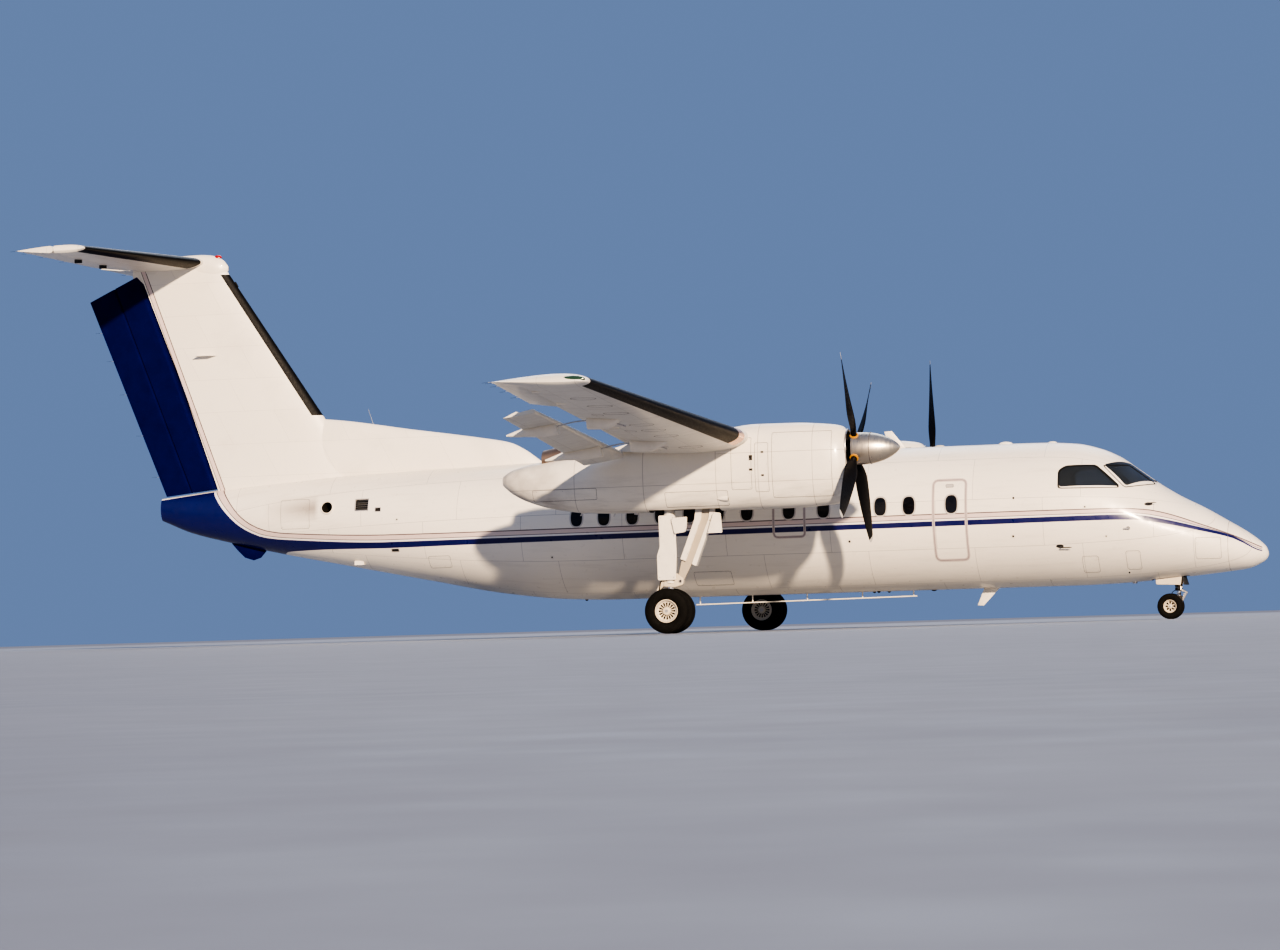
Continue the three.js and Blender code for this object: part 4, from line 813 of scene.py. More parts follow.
def flap_outline(s):
    def top(x):
        cover = 0.004 if x > FLAP_STEP else lerp(0.052, 0.024, (x - FLAP_NOSE) / (FLAP_STEP - FLAP_NOSE))
        return UPPER * foil(s["thick"], x) - cover

    def low(x):
        return -LOWER * foil(s["thick"], x)

    ring = [on_section(s, 1, 0)]
    ring += [on_section(s, x, top(x))
             for x in (0.985, 0.96, 0.93, 0.9, 0.87, FLAP_STEP, 0.82, 0.79, 0.76, 0.74)]
    a, b = top(0.73), low(0.725) + 0.001
    for k in range(1, 12):
        turn = math.pi * k / 12
        ring.append(on_section(s, 0.728 - 0.023 * math.sin(turn), lerp(a, b, (1 - math.cos(turn)) / 2)))
    return ring + [on_section(s, x, low(x) + 0.001) for x in (0.74, 0.77, 0.8, 0.84, 0.88, 0.92, 0.96, 0.985)]


def lower_skin(s, x):
    return on_section(s, x, -LOWER * foil(s["thick"], x))


FIXED_FAIRING = [(0.4, 0.006, 0.02), (0.45, 0.095, 0.062), (0.54, 0.16, 0.085), (0.683, 0.178, 0.09)]
MOVING_FAIRING = [
    (0.722, 0.178, 0.09), (0.82, 0.17, 0.088), (0.94, 0.14, 0.075), (1.06, 0.085, 0.055),
    (1.15, 0.02, 0.022),
]


def canoe(build, s, rows, material):
    rings = []
    for share in steps(rows[0][0], rows[-1][0], 0.02):
        depth, half = smooth(rows, share, 1), smooth(rows, share, 2)
        roof = 0.045 if share < 0.9 else lerp(0.045, 0.012, (share - 0.9) / 0.25)
        skin = lower_skin(s, share)
        rings.append(cross(LENGTH / 2 - skin.x, skin.y, skin.z - AXIS + roof, skin.z - AXIS - depth, half,
                           2.2, 28))
    build.loft(rings, material)


def flap_axis(a, b):
    nose = [on_section(s, FLAP_NOSE, 0) for s in (a, b)]
    return nose[0] + Vector((0.05, 0, -1.85)), (nose[1] - nose[0]).normalized()


def about(through, direction, degrees):
    turn = Matrix.Rotation(math.radians(degrees), 4, direction)
    return Matrix.Translation(through) @ turn @ Matrix.Translation(-through)


TRACK = {"drop": 0.025, "thick": 0.022, "half": 0.009, "front": -38.5, "back": 4.0}


def track_arm(build, s, axis):
    through, direction = axis
    nose = lower_skin(s, FLAP_NOSE) - through
    along = nose.dot(direction)
    up = nose - direction * along
    far = up.length - TRACK["drop"]
    up.normalize()
    aft = direction.cross(up)
    rings = []
    for turn in steps(TRACK["front"], TRACK["back"], 1.5):
        ray = up * math.cos(math.radians(turn)) + aft * math.sin(math.radians(turn))
        sides = [(far - TRACK["thick"], -1), (far, -1), (far, 1), (far - TRACK["thick"], 1)]
        rings.append([through + ray * r + direction * (along + k * TRACK["half"]) for r, k in sides])
    build.loft(rings, STEEL)


def boot(build, sections, upper, lower, material=None):
    """A rubber strip round the leading edge, as a thin closed shell."""
    rings = []
    for s in sections:
        up, down = shares(s)
        top = [upper * (1 - i / BOOT_STEPS) ** 2 for i in range(BOOT_STEPS)]
        xs = top + [0] + [lower * (i / BOOT_STEPS) ** 2 for i in range(1, BOOT_STEPS + 1)]
        outer, inner = [], []
        for i, x in enumerate(xs):
            share, sign = (up, 1) if i <= BOOT_STEPS else (down, -1)
            lift = BOOT_LIFT * (0.1 if i in (0, 2 * BOOT_STEPS) else 1)
            off = sign * share * foil(s["thick"], x)
            ahead = lift / s["chord"] * (1.4 if x < 0.004 else 0.5 if x < 0.02 else 0.0)
            outer.append(on_section(s, x - ahead,
                                    off + sign * lift / s["chord"] * (0 if i == BOOT_STEPS else 1)))
            inner.append(on_section(s, x + 0.004, off * 0.9))
        rings.append(outer + list(reversed(inner)))
    build.loft(rings, material or BOOT_RUBBER)


def tip_sections():
    """The rounded wing tip. Columns: distance out, and chord and thickness as shares of the tip's."""
    made = []
    for y, chord, thick in ((12.72, 1, 1), (12.79, 0.995, 0.93), (12.85, 0.982, 0.8), (12.9, 0.955, 0.62),
                            (12.935, 0.915, 0.42), (12.955, 0.85, 0.18)):
        s = section_of(WING_SPAN, 1)
        lost = s["chord"] * (1 - chord)
        made.append({**s, "y": -y, "station": s["station"] + lost * 0.6, "chord": s["chord"] - lost,
                     "thick": s["thick"] * thick})
    return made


OUTER_AXIS = flap_axis(wing_at(4.5), wing_at(10.23))
INNER_AXIS = flap_axis(centre_at(1.42), centre_at(3.37))
OUTER_RIBS = [wing_at(y) for y in (6.01, 8.86)]


def flap(name, side, mirror, sections, ribs, axis):
    """One flap with its fairings and track arms, swung out to its angle at rest."""
    made = Build().loft([flap_outline(s) for s in sections], MOVING)
    for s in ribs:
        canoe(made, s, MOVING_FAIRING, WHITE_PART)
        track_arm(made, s, axis)
    made.moved(about(*axis, FLAP_REST))
    made.object(f"{name}_flap_{side}", f"flap_{name}_{side}_body", [f"flap_{name}_{side}"], WING_SHARP,
                mirror)


def outer_wing(side, mirror):
    def span(a, b, n=6):
        return [wing_at(lerp(a, b, k / n)) for k in range(n + 1)]

    made = Build()
    made.loft([cove_outline(s) for s in span(4.44, 10.242)], WING)
    made.loft([foil_outline(s) for s in span(10.242, 10.318, 1)], WING)
    made.loft([foil_outline(s, edge_of(s)) for s in span(10.318, 12.572, 3)], WING)
    made.loft([foil_outline(s) for s in span(12.572, 12.72, 1)[:-1] + tip_sections()], WING)
    for rib in OUTER_RIBS:
        canoe(made, rib, FIXED_FAIRING, WHITE_PART)
    made.object(f"outer_wing_{side}", "root", [f"wing_outer_{side}"], WING_SHARP, mirror)
    edge = Build()
    boot(edge, span(4.95, 12.7, 10), 0.075, 0.085)
    boot(edge, span(4.62, 4.94, 2), 0.075, 0.085, POLISHED)
    edge.object(f"wing_boot_{side}", angle=STRIP_SHARP, mirror=mirror)
    flap("outer", side, mirror, span(4.5, 10.23), OUTER_RIBS, OUTER_AXIS)
    flap("inner", side, mirror, [centre_at(1.42), centre_at(3.37)], [centre_at(2.4)], INNER_AXIS)
    aileron = Build().loft([hinged_outline(s) for s in span(10.33, 12.56, 2)], MOVING)
    aileron.object(f"aileron_skin_{side}", f"aileron_{side}_body", [f"aileron_{side}"], WING_SHARP, mirror)


both_sides(outer_wing)
centre = Build()
for a, b, shape in ((-4.4397, -3.382, foil_outline), (-3.382, -1.408, cove_outline),
                    (-1.408, 1.408, foil_outline),
                    (1.408, 3.382, cove_outline), (3.382, 4.4397, foil_outline)):
    centre.loft([shape(centre_at(y)) for y in (a, b)], WING)
for y in (-2.4, 2.4):
    canoe(centre, centre_at(y), FIXED_FAIRING, WHITE_PART)
centre.object("centre_wing", "root", ["wing_centre"], WING_SHARP)
edge = Build()
for sign in (-1, 1):
    boot(edge, [centre_at(sign * y) for y in (1.15, 2.3, 3.42)], 0.075, 0.085)
edge.object("centre_boots", angle=STRIP_SHARP)

WING_FAIRING = [
    (7.55, 1.306, 0.7, 0.26), (7.85, 1.37, 0.65, 0.7), (8.35, 1.48, 0.6, 1.0), (9.5, 1.56, 0.6, 1.05),
    (10.9, 1.49, 0.6, 1.05), (11.6, 1.4, 0.65, 0.88), (12.3, 1.312, 0.7, 0.32),
]
DORSAL = [
    (13.33, 1.29, 0.7, 0.06), (13.7, 1.56, 0.7, 0.11), (13.97, 1.69, 0.7, 0.13), (14.35, 1.77, 0.7, 0.145),
    (15.86, 2.01, 0.7, 0.16), (17.5, 2.262, 0.7, 0.16), (17.9, 2.29, 0.7, 0.12),
]
FIN_CAP = [
    (19.44, 5.265, 5.18, 0.02), (19.54, 5.39, 5.05, 0.085), (19.72, 5.475, 4.96, 0.125),
    (20.0, 5.505, 4.95, 0.14), (20.8, 5.48, 4.95, 0.138), (21.33, 5.41, 5.0, 0.105),
]


def table_loft(build, rows, material, y=0.0, sides=48, size=0.08):
    rings = []
    for station in steps(rows[0][0], rows[-1][0], size):
        top, bottom, half = (smooth(rows, station, k) for k in (1, 2, 3))
        power = smooth(rows, station, 4) if len(rows[0]) > 4 else 2.0
        rings.append(cross(station, y, top, bottom, half, power, sides))
    return build.loft(rings, material)


table_loft(Build(), WING_FAIRING, WHITE_PART, 0, 96).object("wing_root_fairing", "root", ["wing_fairing"])

FIN_SPAN = {
    "upright": True, "root": (16.745, 0, 1.0, 4.075, 0.1, 0, 0.7546),
    "tip": (19.51, 0, 5.24, 2.95, 0.1, 0, 0.6136),
}


def fin_at(height):
    return section_of(FIN_SPAN, (height - 1.0) / 4.24)


def trailing(s):
    return {**s, "hinge": lerp(s["hinge"], 1, 0.5)}


def fore_panel(s):
    after = trailing(s)
    end = edge_of(after)
    limit = on_section(s, end, 0).x
    kept = [p for p in hinged_outline(s) if p.x > limit + 0.001]
    return [on_section(s, end, foil(s["thick"], end))] + kept + [on_section(s, end, -foil(s["thick"], end))]


def rudder_space():
    outline = [
        (18.5, 1.165), (19.76, 1.035), (20.9, 0.905), (24, 0.56), (24, 4), (22.33, 4.664), (21.28, 5.12),
        (18.5, 6.26),
    ]
    return Build().plate(outline, -0.4, 0.4, BLUE_PAINT).object("tool", None)


FIN_WHITE = fin_paint()
fin = Build().loft([foil_outline(s, edge_of(s)) for s in (fin_at(h) for h in (0.9, 3.0, 5.228))], FIN_WHITE)
table_loft(fin, DORSAL, FIN_WHITE)
fin.object("fin_skin", "root", ["fin"], WING_SHARP)
edge = Build()
boot(edge, [fin_at(h) for h in (2.35, 3.3, 4.3, 5.1)], 0.05, 0.05)
edge.object("fin_boot", angle=STRIP_SHARP)
fore_rings = [fore_panel(fin_at(h)) for h in (0.88, 5.2)]
rear_rings = [hinged_outline(trailing(fin_at(h))) for h in (0.82, 5.2)]
for name, rings in (("fore", fore_rings), ("rear", rear_rings)):
    panel = Build().loft(rings, BLUE_PAINT)
    panel = panel.object(f"rudder_{name}_skin", f"rudder_{name}_body", [f"rudder_{name}"])
    carve(panel, [rudder_space()], "INTERSECT")

TAIL_SPAN = {"root": (19.86, 0, 5.35, 2.23, 0.12, 0, 0.69), "tip": (20.8, -3.96, 5.35, 1.29, 0.11, 0, 0.504)}


def tail_at(y, kept=1.0):
    s = section_of(TAIL_SPAN, abs(y) / 3.96)
    return {**s, "y": y, "thick": s["thick"] * kept, "plain": True}


tail_rows = [(-3.96, 0.4), (-3.945, 0.7), (-3.92, 1.0), (0, 1.0), (3.92, 1.0), (3.945, 0.7), (3.96, 0.4)]
TAIL_PAINT = wing_paint("tailplane_paint", (0.78, 0.74, 0.66), 0.8)
tail = Build().loft([foil_outline(s, edge_of(tail_at(s["y"])))
                     for s in (tail_at(*row) for row in tail_rows)], TAIL_PAINT)
table_loft(tail, FIN_CAP, WHITE_PART, 0, 40)
tail.object("tailplane_skin", "root", ["tailplane"], WING_SHARP)
edge = Build()
for sign in (-1, 1):
    boot(edge, [tail_at(sign * y) for y in (0.22, 1.5, 2.8, 3.9)], 0.07, 0.13)
edge.object("tail_boots", angle=STRIP_SHARP)
for side, sign in SIDE_SIGNS:
    made = Build().loft([hinged_outline(tail_at(sign * y)) for y in (0.17, 2.0, 3.96)], MOVING)
    made.object(f"elevator_skin_{side}", f"elevator_{side}_body", [f"elevator_{side}"], WING_SHARP)

# Nacelles and propellers
NACELLE = [
    (6.8, 1.475, 0.33, 0.345, 2.2), (6.87, 1.54, 0.262, 0.4, 2.3), (7.0, 1.58, 0.215, 0.445, 2.4),
    (7.27, 1.612, 0.188, 0.48, 2.5), (7.7, 1.64, 0.165, 0.5, 2.6), (8.41, 1.645, 0.16, 0.505, 2.6),
    (9.1, 1.56, 0.162, 0.505, 2.6), (10.2, 1.42, 0.166, 0.5, 2.6), (10.9, 1.33, 0.175, 0.485, 2.5),
    (11.5, 1.24, 0.2, 0.45, 2.4), (12.05, 1.16, 0.28, 0.395, 2.3), (12.55, 1.075, 0.43, 0.31, 2.2),
    (12.85, 0.99, 0.59, 0.205, 2.1), (13.0, 0.9, 0.72, 0.085, 2.0),
]
INTAKE = [(6.6, 0.775, 0.37, 0.2, 2.6), (6.7, 0.76, 0.395, 0.19, 2.6), (7.3, 0.7, 0.45, 0.12, 2.4)]
EXHAUST = [
    (10.95, 1.33, 1.0, 0.12), (11.3, 1.4, 1.0, 0.19), (11.8, 1.4, 1.01, 0.21), (12.25, 1.33, 1.01, 0.2),
]
BLADE = [
    (0.12, 0.108, 0.108, 46), (0.33, 0.116, 0.096, 45), (0.47, 0.2, 0.056, 42), (0.7, 0.285, 0.038, 37),
    (1.1, 0.305, 0.026, 26), (1.5, 0.27, 0.017, 19), (1.8, 0.205, 0.011, 15), (1.95, 0.14, 0.008, 13),
    (1.98, 0.08, 0.006, 13),
]


def nacelle(side, mirror):
    y = -NACELLE_Y
    body = table_loft(Build(), NACELLE, COWL, y, 72, 0.07)
    body = body.object(f"nacelle_skin_{side}", stands_for=[f"nacelle_{side}"])
    # The bore behind the spinner and the intake mouth are lined near-black: painted shade inside them.
    hole = Build().lathe([(0, 0.32), (1.7, 0.32)], P(8.4, y, PROP_AXIS), (1, 0, 0), DARK_TRIM_AND_SHADE)
    hole = hole.object("tool", None)
    mouth = table_loft(Build(), INTAKE, DARK_TRIM_AND_SHADE, y, 48, 0.1).object("tool", None)
    # The gear bay's walls are near-black, painted shade in the recess.
    bay = station_box(9.06, 10.33, y - 0.235, y + 0.235, -0.2, 0.56, BAY_SHADE)
    carve(body, [hole, mouth, bay], angle=30)
    lip = Build()
    rings = []
    for turn in full_turn(16):
        grow = 0.022 + 0.02 * math.cos(turn)
        rings.append(cross(6.80 + 0.02 * math.sin(turn), y, 0.76, 0.395, 0.19, 2.6, 48, grow))
    lip.hoop(rings, POLISHED)
    ring = [(0.335 + 0.016 * math.cos(turn), 0.016 * math.sin(turn)) for turn in full_turn(12)]
    rays = [Vector((0, math.cos(a), math.sin(a))) for a in full_turn(64)]
    spin = [[P(6.80 + off, y, PROP_AXIS) + ray * r for ray in rays] for r, off in ring]
    lip.hoop(spin, STEEL)
    # A near-black ring closes the gap behind the spinner: painted shade.
    lip.lathe([(0, 0.3), (0.02, 0.3), (0.02, 0.1), (0, 0.1)], P(6.98, y, PROP_AXIS), (1, 0, 0), DARK_TRIM_AND_SHADE)
    lip.object(f"cowl_lips_{side}", "root", mirror=mirror)
    pipe = table_loft(Build(), EXHAUST, HOT_METAL, y, 56, 0.08)
    pipe = pipe.object(f"exhaust_pipe_{side}", stands_for=[f"exhaust_{side}"])
    mouths = ((11.8, 1.4, 1.01, 0.21), (12.26, 1.33, 1.01, 0.2))
    bore = [cross(s, y, top - 0.014, bottom + 0.014, half - 0.014, 2, 56) for s, top, bottom, half in mouths]
    carve(pipe, [Build().loft(bore, SOOT_AND_SHADE).object("tool", None)])
    if mirror:
        for obj in (body, pipe):
            for v in obj.data.vertices:
                v.co.y = -v.co.y
            outward(obj.data)
            shade(obj.data, 30)


both_sides(nacelle)


def blade_shape(turn):
    """One blade standing up from the shaft, turned by an angle in degrees."""
    made = Build()
    rings, paints = [], []
    radii = [0.12, 0.2, 0.26, 0.33, 0.38, 0.42, 0.47] + steps(0.55, 1.9, 0.09)
    radii += [1.93, 1.95, 1.965, 1.975, 1.98]
    for radius in radii:
        chord, thick, pitch = (smooth(BLADE, radius, k) for k in (1, 2, 3))
        tilt = math.radians(pitch)
        along = Vector((math.sin(tilt), -math.cos(tilt), 0))
        face = Vector((math.cos(tilt), math.sin(tilt), 0))
        sharp = min(1.0, max(0.0, (radius - 0.33) / 0.25))
        ring = []
        for a in full_turn(28):
            bulge = 0.25 * sharp * math.sin(a) ** 2 * thick
            taper = 1 - 0.35 * sharp * (1 - math.cos(a)) / 2
            off = face * (math.sin(a) * thick / 2 * taper + bulge)
            ring.append(Vector((0, 0, radius)) + along * math.cos(a) * chord / 2 + off)
        rings.append(ring)
        paints.append(BLADE_TIP if radius >= 1.88 else BLADE_BLACK)
    made.loft(rings, paints[:-1])
    return made.moved(Matrix.Rotation(math.radians(turn), 4, "X"))


def propeller(side, sign, lean):
    y = sign * NACELLE_Y
    centre = P(PROP_STATION, y, PROP_AXIS)
    body = f"propeller_{side}_body"
    made = Build()
    for k in range(4):
        made.add(blade_shape(lean + 90 * k), Matrix.Translation(centre))
    made.lathe([(-0.05, 0.08), (-0.05, 0.19), (0.095, 0.19), (0.095, 0.08)], centre, (1, 0, 0), DARK_TRIM_AND_SHADE)
    made.object(f"blades_{side}", body, [f"propeller_{side}"], STRIP_SHARP)
    rows = [(0.0, 0.0)]
    for k in range(1, 25):
        share = k / 24
        rows.append((-share**1.6 * (6.562 - 5.89), 0.28 * (1 - (1 - share**1.6) ** 2) ** 0.7))
    rows += [(-0.80, 0.28), (-0.826, 0.277), (-0.832, 0.268), (-0.832, 0.1)]
    cone = Build().lathe(rows, P(5.89, y, PROP_AXIS), (1, 0, 0), SPINNER_METAL, 72)
    for station, radius in ((6.40, 0.2765), (6.695, 0.2805)):
        low, high = radius - 0.01, radius + 0.001
        seam = [(0.004, low), (0.004, high), (-0.004, high), (-0.004, low)]
        cone.lathe(seam, P(station, y, PROP_AXIS), (1, 0, 0), SEAM, 72)
    for k in range(4):
        turn = Matrix.Translation(centre) @ Matrix.Rotation(math.radians(lean + 90 * k), 4, "X")
        pad = [(0.25, 0.058), (0.272, 0.08), (0.287, 0.077), (0.293, 0.058)]
        cone.add(Build().lathe(pad, Vector(), (0, 0, 1), PAD_ORANGE, 36), turn)
    cone.object(f"spinner_skin_{side}", body, [f"spinner_{side}"], STRIP_SHARP)


propeller("right", -1, 37)
propeller("left", 1, 0)

# Wheels
MAIN_STATION, NOSE_STATION = 10.05, 1.77
MAIN_TYRE = {
    "radius": 0.394, "width": 0.248, "rim": 0.205, "spacing": 0.2, "slots": 16, "slot": (0.035, 0.082),
    "grooves": 4,
}
NOSE_TYRE = {
    "radius": 0.229, "width": 0.14, "rim": 0.118, "spacing": 0.125, "slots": 8, "slot": (0.085, 0.17),
    "grooves": 3,
}

# Depth behind the rim's outer edge, and radius as a share of the rim's
RIM_FACE = [
    (0.012, 1.0), (0.0, 0.985), (0.0, 0.93), (0.012, 0.87), (0.04, 0.83), (0.05, 0.74), (0.053, 0.42),
    (0.03, 0.35), (0.012, 0.31), (0.008, 0.24),
]


def tyre_rows(size):
    """Across the tyre: (distance from its middle plane, radius), with grooves in the tread."""
    outer, rim, half = size["radius"], size["rim"] + 0.0005, size["width"] / 2
    wall = [
        (0.78, 0.0), (0.9, 0.12), (0.985, 0.3), (1.0, 0.45), (0.985, 0.6), (0.93, 0.76), (0.84, 0.88),
        (0.7, 0.955),
    ]
    side = [(half * w, lerp(rim, outer, h)) for w, h in wall]
    tread, reach = [], half * 0.6
    for k in range(size["grooves"]):
        at = lerp(reach, -reach, (k + 0.5) / size["grooves"])
        for off, depth in ((0.007, 0), (0.004, 0.009), (-0.004, 0.009), (-0.007, 0)):
            across = at + off
            tread.append((across, outer - (abs(across) / half) ** 2.4 * 0.02 - depth))
    seat = [(-half * 0.76, rim - 0.001), (half * 0.76, rim - 0.001)]
    return side + tread + [(-a, r) for a, r in reversed(side)] + seat


def wheel_set(name, body, x, y, size):
    centre = Vector((x, y, size["radius"]))
    rim, half, spacing = size["rim"], size["width"], size["spacing"]
    outward = -1 if y <= 0 else 1
    for label, sign in (("outer", outward), ("inner", -outward)):
        middle = centre + Vector((0, sign * spacing, 0))
        made = Build().lathe(tyre_rows(size), middle, (0, 1, 0), TYRE_RUBBER, SIDES)
        made.object(f"{name}_rubber_{label}", body, [f"{name}_tyre_{label}"], FITTING_SHARP)
    hubs = Build()
    axle = 0.045 if rim > 0.15 else 0.024
    hubs.rod(centre + Vector((0, -spacing, 0)), centre + Vector((0, spacing, 0)), axle, STEEL)
    near, far = spacing - half * 0.45, spacing + half * 0.4
    dish = [(near, axle), (near, rim * 0.9), (near + 0.004, rim), (near + 0.02, rim)]
    dish += [(far - depth, rim * share) for depth, share in RIM_FACE] + [(far - 0.008, 0.002)]
    for sign in (-1, 1):
        hubs.lathe(dish, centre, (0, sign, 0), CREAM, 72)
    wheel = hubs.object(f"{name}_hubs", body, [f"{name}_rims"], FITTING_SHARP)
    # The slots' walls take the near-black of their cutters: painted shade inside the holes.
    cutters = Build()
    for sign in (-1, 1):
        for k in range(size["slots"]):
            turn = Matrix.Translation(centre) @ Matrix.Rotation(2 * math.pi * k / size["slots"], 4, "Y")
            inner, outer = rim * 0.36, rim * 0.72
            narrow, wide = (rim * share for share in size["slot"])
            low, high = sorted((sign * (far - 0.13), sign * far))
            corners = ((-narrow, inner), (narrow, inner), (wide, outer), (-wide, outer))
            ring = rounded([Vector((across, 0, up)) for across, up in corners], narrow * 0.9, 3)
            slot = Build().loft([[p + Vector((0, d, 0)) for p in ring] for d in (low, high)], SOOT_AND_SHADE)
            cutters.add(slot, turn)
    carve(wheel, [cutters.object("tool", None)], angle=34)
    nuts = Build()
    for sign in (-1, 1):
        base, top = (centre + Vector((0, sign * (far - depth), 0)) for depth in (0.02, 0.002))
        nuts.rod(base, top, rim * 0.16, STEEL, rim * 0.13)
        for k in range(8):
            turn = 2 * math.pi * (k + 0.5) / 8
            spot = centre + Vector((math.cos(turn) * rim * 0.78, sign * (far - 0.046),
                                    math.sin(turn) * rim * 0.78))
            nuts.rod(spot, spot + Vector((0, sign * 0.012, 0)), rim * 0.03, STEEL, segments=6)
    nuts.object(f"{name}_nuts", body)


for side, sign in SIDE_SIGNS:
    wheel_set(f"main_wheel_{side}", f"main_wheels_{side}", LENGTH / 2 - MAIN_STATION, sign * NACELLE_Y,
              MAIN_TYRE)
wheel_set("nose_wheel", "nose_wheels", LENGTH / 2 - NOSE_STATION, 0, NOSE_TYRE)

CARRIED = {
    "belly_aerial": WHITE_PART,
    "engine_right": DARK_TRIM_AND_SHADE, "engine_left": DARK_TRIM_AND_SHADE, "instrument_panel": DARK_TRIM_AND_SHADE,
    "pilot_seat_right": SEAT_CLOTH, "pilot_seat_left": SEAT_CLOTH,
}
for name, material in CARRIED.items():
    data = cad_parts[name].data
    data.materials.clear()
    data.materials.append(material)


# Strips, panes and seams laid on a skin
def spread(ring, size=0.05):
    """The outline with more points on its long edges."""
    made = []
    for k, point in enumerate(ring):
        after = ring[(k + 1) % len(ring)]
        count = max(1, round((after - point).length / size))
        made += [point.lerp(after, i / count) for i in range(count)]
    return made


def frame_of(front, back, low, high, radius):
    """A rounded rectangle of (station, height) points."""
    corners = [Vector((s, h, 0)) for s, h in ((front, low), (back, low), (back, high), (front, high))]
    return spread(rounded(corners, radius, 6))


def oval_of(station, height, wide, high, count=28):
    """A window's outline, squarer than an ellipse."""
    made = []
    for k in range(count):
        c, s = math.cos(2 * math.pi * k / count), math.sin(2 * math.pi * k / count)
        across = math.copysign(abs(c) ** 0.75, c) * wide / 2
        up = math.copysign(abs(s) ** 0.75, s) * high / 2
        made.append(Vector((station + across, height + up, 0)))
    return made


def inset(ring, width):
    """The outline moved inwards by a width."""
    middle = sum(ring, Vector()) / len(ring)
    made = []
    for k, point in enumerate(ring):
        run = (ring[(k + 1) % len(ring)] - ring[k - 1]).normalized()
        normal = Vector((-run.y, run.x, 0))
        made.append(point + normal * (width if normal.dot(middle - point) > 0 else -width))
    return made


def skin_band(build, ring, width, material, side, lift=0.002, skin=hull_skin, sink=-0.006):
    """A raised strip inside a closed outline."""
    rings = []
    for a, b in zip(ring, inset(ring, width)):
        rings.append([skin(p.x, p.y, side, up)[0] for p, up in ((a, sink), (a, lift), (b, lift), (b, sink))])
    return build.hoop(rings, material)


def skin_plate(build, ring, material, side, lift=0.0015, shares=(1.0, 0.75, 0.5, 0.25, 0.04), skin=hull_skin):
    """A thin plate that fills an outline."""
    middle = sum(ring, Vector()) / len(ring)
    rings = [[skin(p.x, p.y, side, -0.006)[0] for p in ring]]
    for share in shares:
        rings.append([skin(*(middle + (p - middle) * share).xy, side, lift)[0] for p in ring])
    return build.loft(rings, material)


def screws(build, points, side, proud, radius, skin=hull_skin):
    """Low screw heads on the skin at (station, height) points."""
    for point in points:
        spot, normal = skin(point.x, point.y, side)
        build.rod(spot - normal * 0.003, spot + normal * proud, radius, STEEL, segments=8)


def window(panes, rings, station, height, sign):
    """A cabin window's pane and its ring."""
    outline = oval_of(station, height, WINDOW["wide"], WINDOW["high"])
    # The pane is near-black, painted shade of the cabin behind it.
    skin_plate(panes, outline, WINDOW_SHADE, sign, 0.0012)
    skin_band(rings, inset(outline, -WINDOW["ring"]), WINDOW["ring"], WINDOW_RING, sign, 0.004)


def smooth_path(points, count=8):
    """A curve through points, as evenly many steps between each two."""
    spots = [Vector(p) for p in points]
    ends = [spots[0] * 2 - spots[1]] + spots + [spots[-1] * 2 - spots[-2]]
    made = []
    for a, b, c, d in zip(ends, ends[1:], ends[2:], ends[3:]):
        for i in range(count):
            t = i / count
            made.append((b * 2 + (c - a) * t + (a * 2 - b * 5 + c * 4 - d) * t**2
                         + (b * 3 - a - c * 3 + d) * t**3) / 2)
    return made + [spots[-1]]


def hose(build, points, radius, material, segments=10, count=8):
    path = smooth_path(points, count)
    side = Vector((0.31, 0.93, 0.2))
    rings = []
    for k, spot in enumerate(path):
        ahead = (path[min(k + 1, len(path) - 1)] - path[max(k - 1, 0)]).normalized()
        side = (side - ahead * side.dot(ahead)).normalized()
        other = ahead.cross(side)
        turns = full_turn(segments)
        rings.append([spot + (side * math.cos(t) + other * math.sin(t)) * radius for t in turns])
    return build.loft(rings, material)


# Cabin windows, doors, hatches and access panels
WINDOW = {"height": 0.21, "wide": 0.205, "high": 0.315, "ring": 0.03}
WINDOWS = [6.246, 6.764, 7.803, 8.437, 9.209, 9.743, 10.277, 10.81, 11.344, 11.878, 12.392]
DOOR_WINDOW_RIGHT = 5.477
RIGHT_DOOR = (5.19, 5.83, -0.81, 0.67, 0.13)
OVERWING_EXIT = (8.13, 8.745, -0.30, 0.56, 0.11)
LEFT_DOOR = (4.93, 5.77, -0.90, 0.83, 0.10)
BAGGAGE_DOOR = (13.25, 14.5, -0.70, 0.80, 0.10)
# Outline, side, width of its band, and how far inside its seam lies
DOORS = [(OVERWING_EXIT, -1, 0.045, 0.02), (OVERWING_EXIT, 1, 0.045, 0.02), (RIGHT_DOOR, -1, 0.05, 0.022),
         (LEFT_DOOR, 1, 0.032, None), (BAGGAGE_DOOR, 1, 0.05, 0.022)]
# Station, height and side of each handle
HANDLES = [(5.51, 0.54, -1), (8.437, 0.47, -1), (8.437, 0.47, 1), (13.87, -0.1, 1)]
# Front, back, low and high edge of each flush panel, and the sides it is on
PANELS = [
    (0.784, 1.224, -0.90, -0.52, (-1, 1)), (2.18, 2.435, -1.05, -0.72, (-1, 1)),
    (2.92, 3.21, -1.08, -0.79, (-1, 1)), (6.05, 6.5, -1.05, -0.80, (1,)), (9.6, 10.3, -1.1, -0.85, (-1, 1)),
    (14.9, 15.35, -0.62, -0.40, (-1, 1)), (16.2, 16.62, 0.78, 1.0, (1,)), (17.7, 18.3, 0.2, 0.75, (-1, 1)),
]
# Station, height and radius of the small round ports
PORTS = [
    (4.36, 0.28, 0.022), (4.39, -0.40, 0.022), (7.35, -0.395, 0.024), (2.75, -0.45, 0.014),
    (2.42, -1.10, 0.018), (12.9, -0.5, 0.018), (15.9, 0.3, 0.016), (3.1, 0.08, 0.016),
]


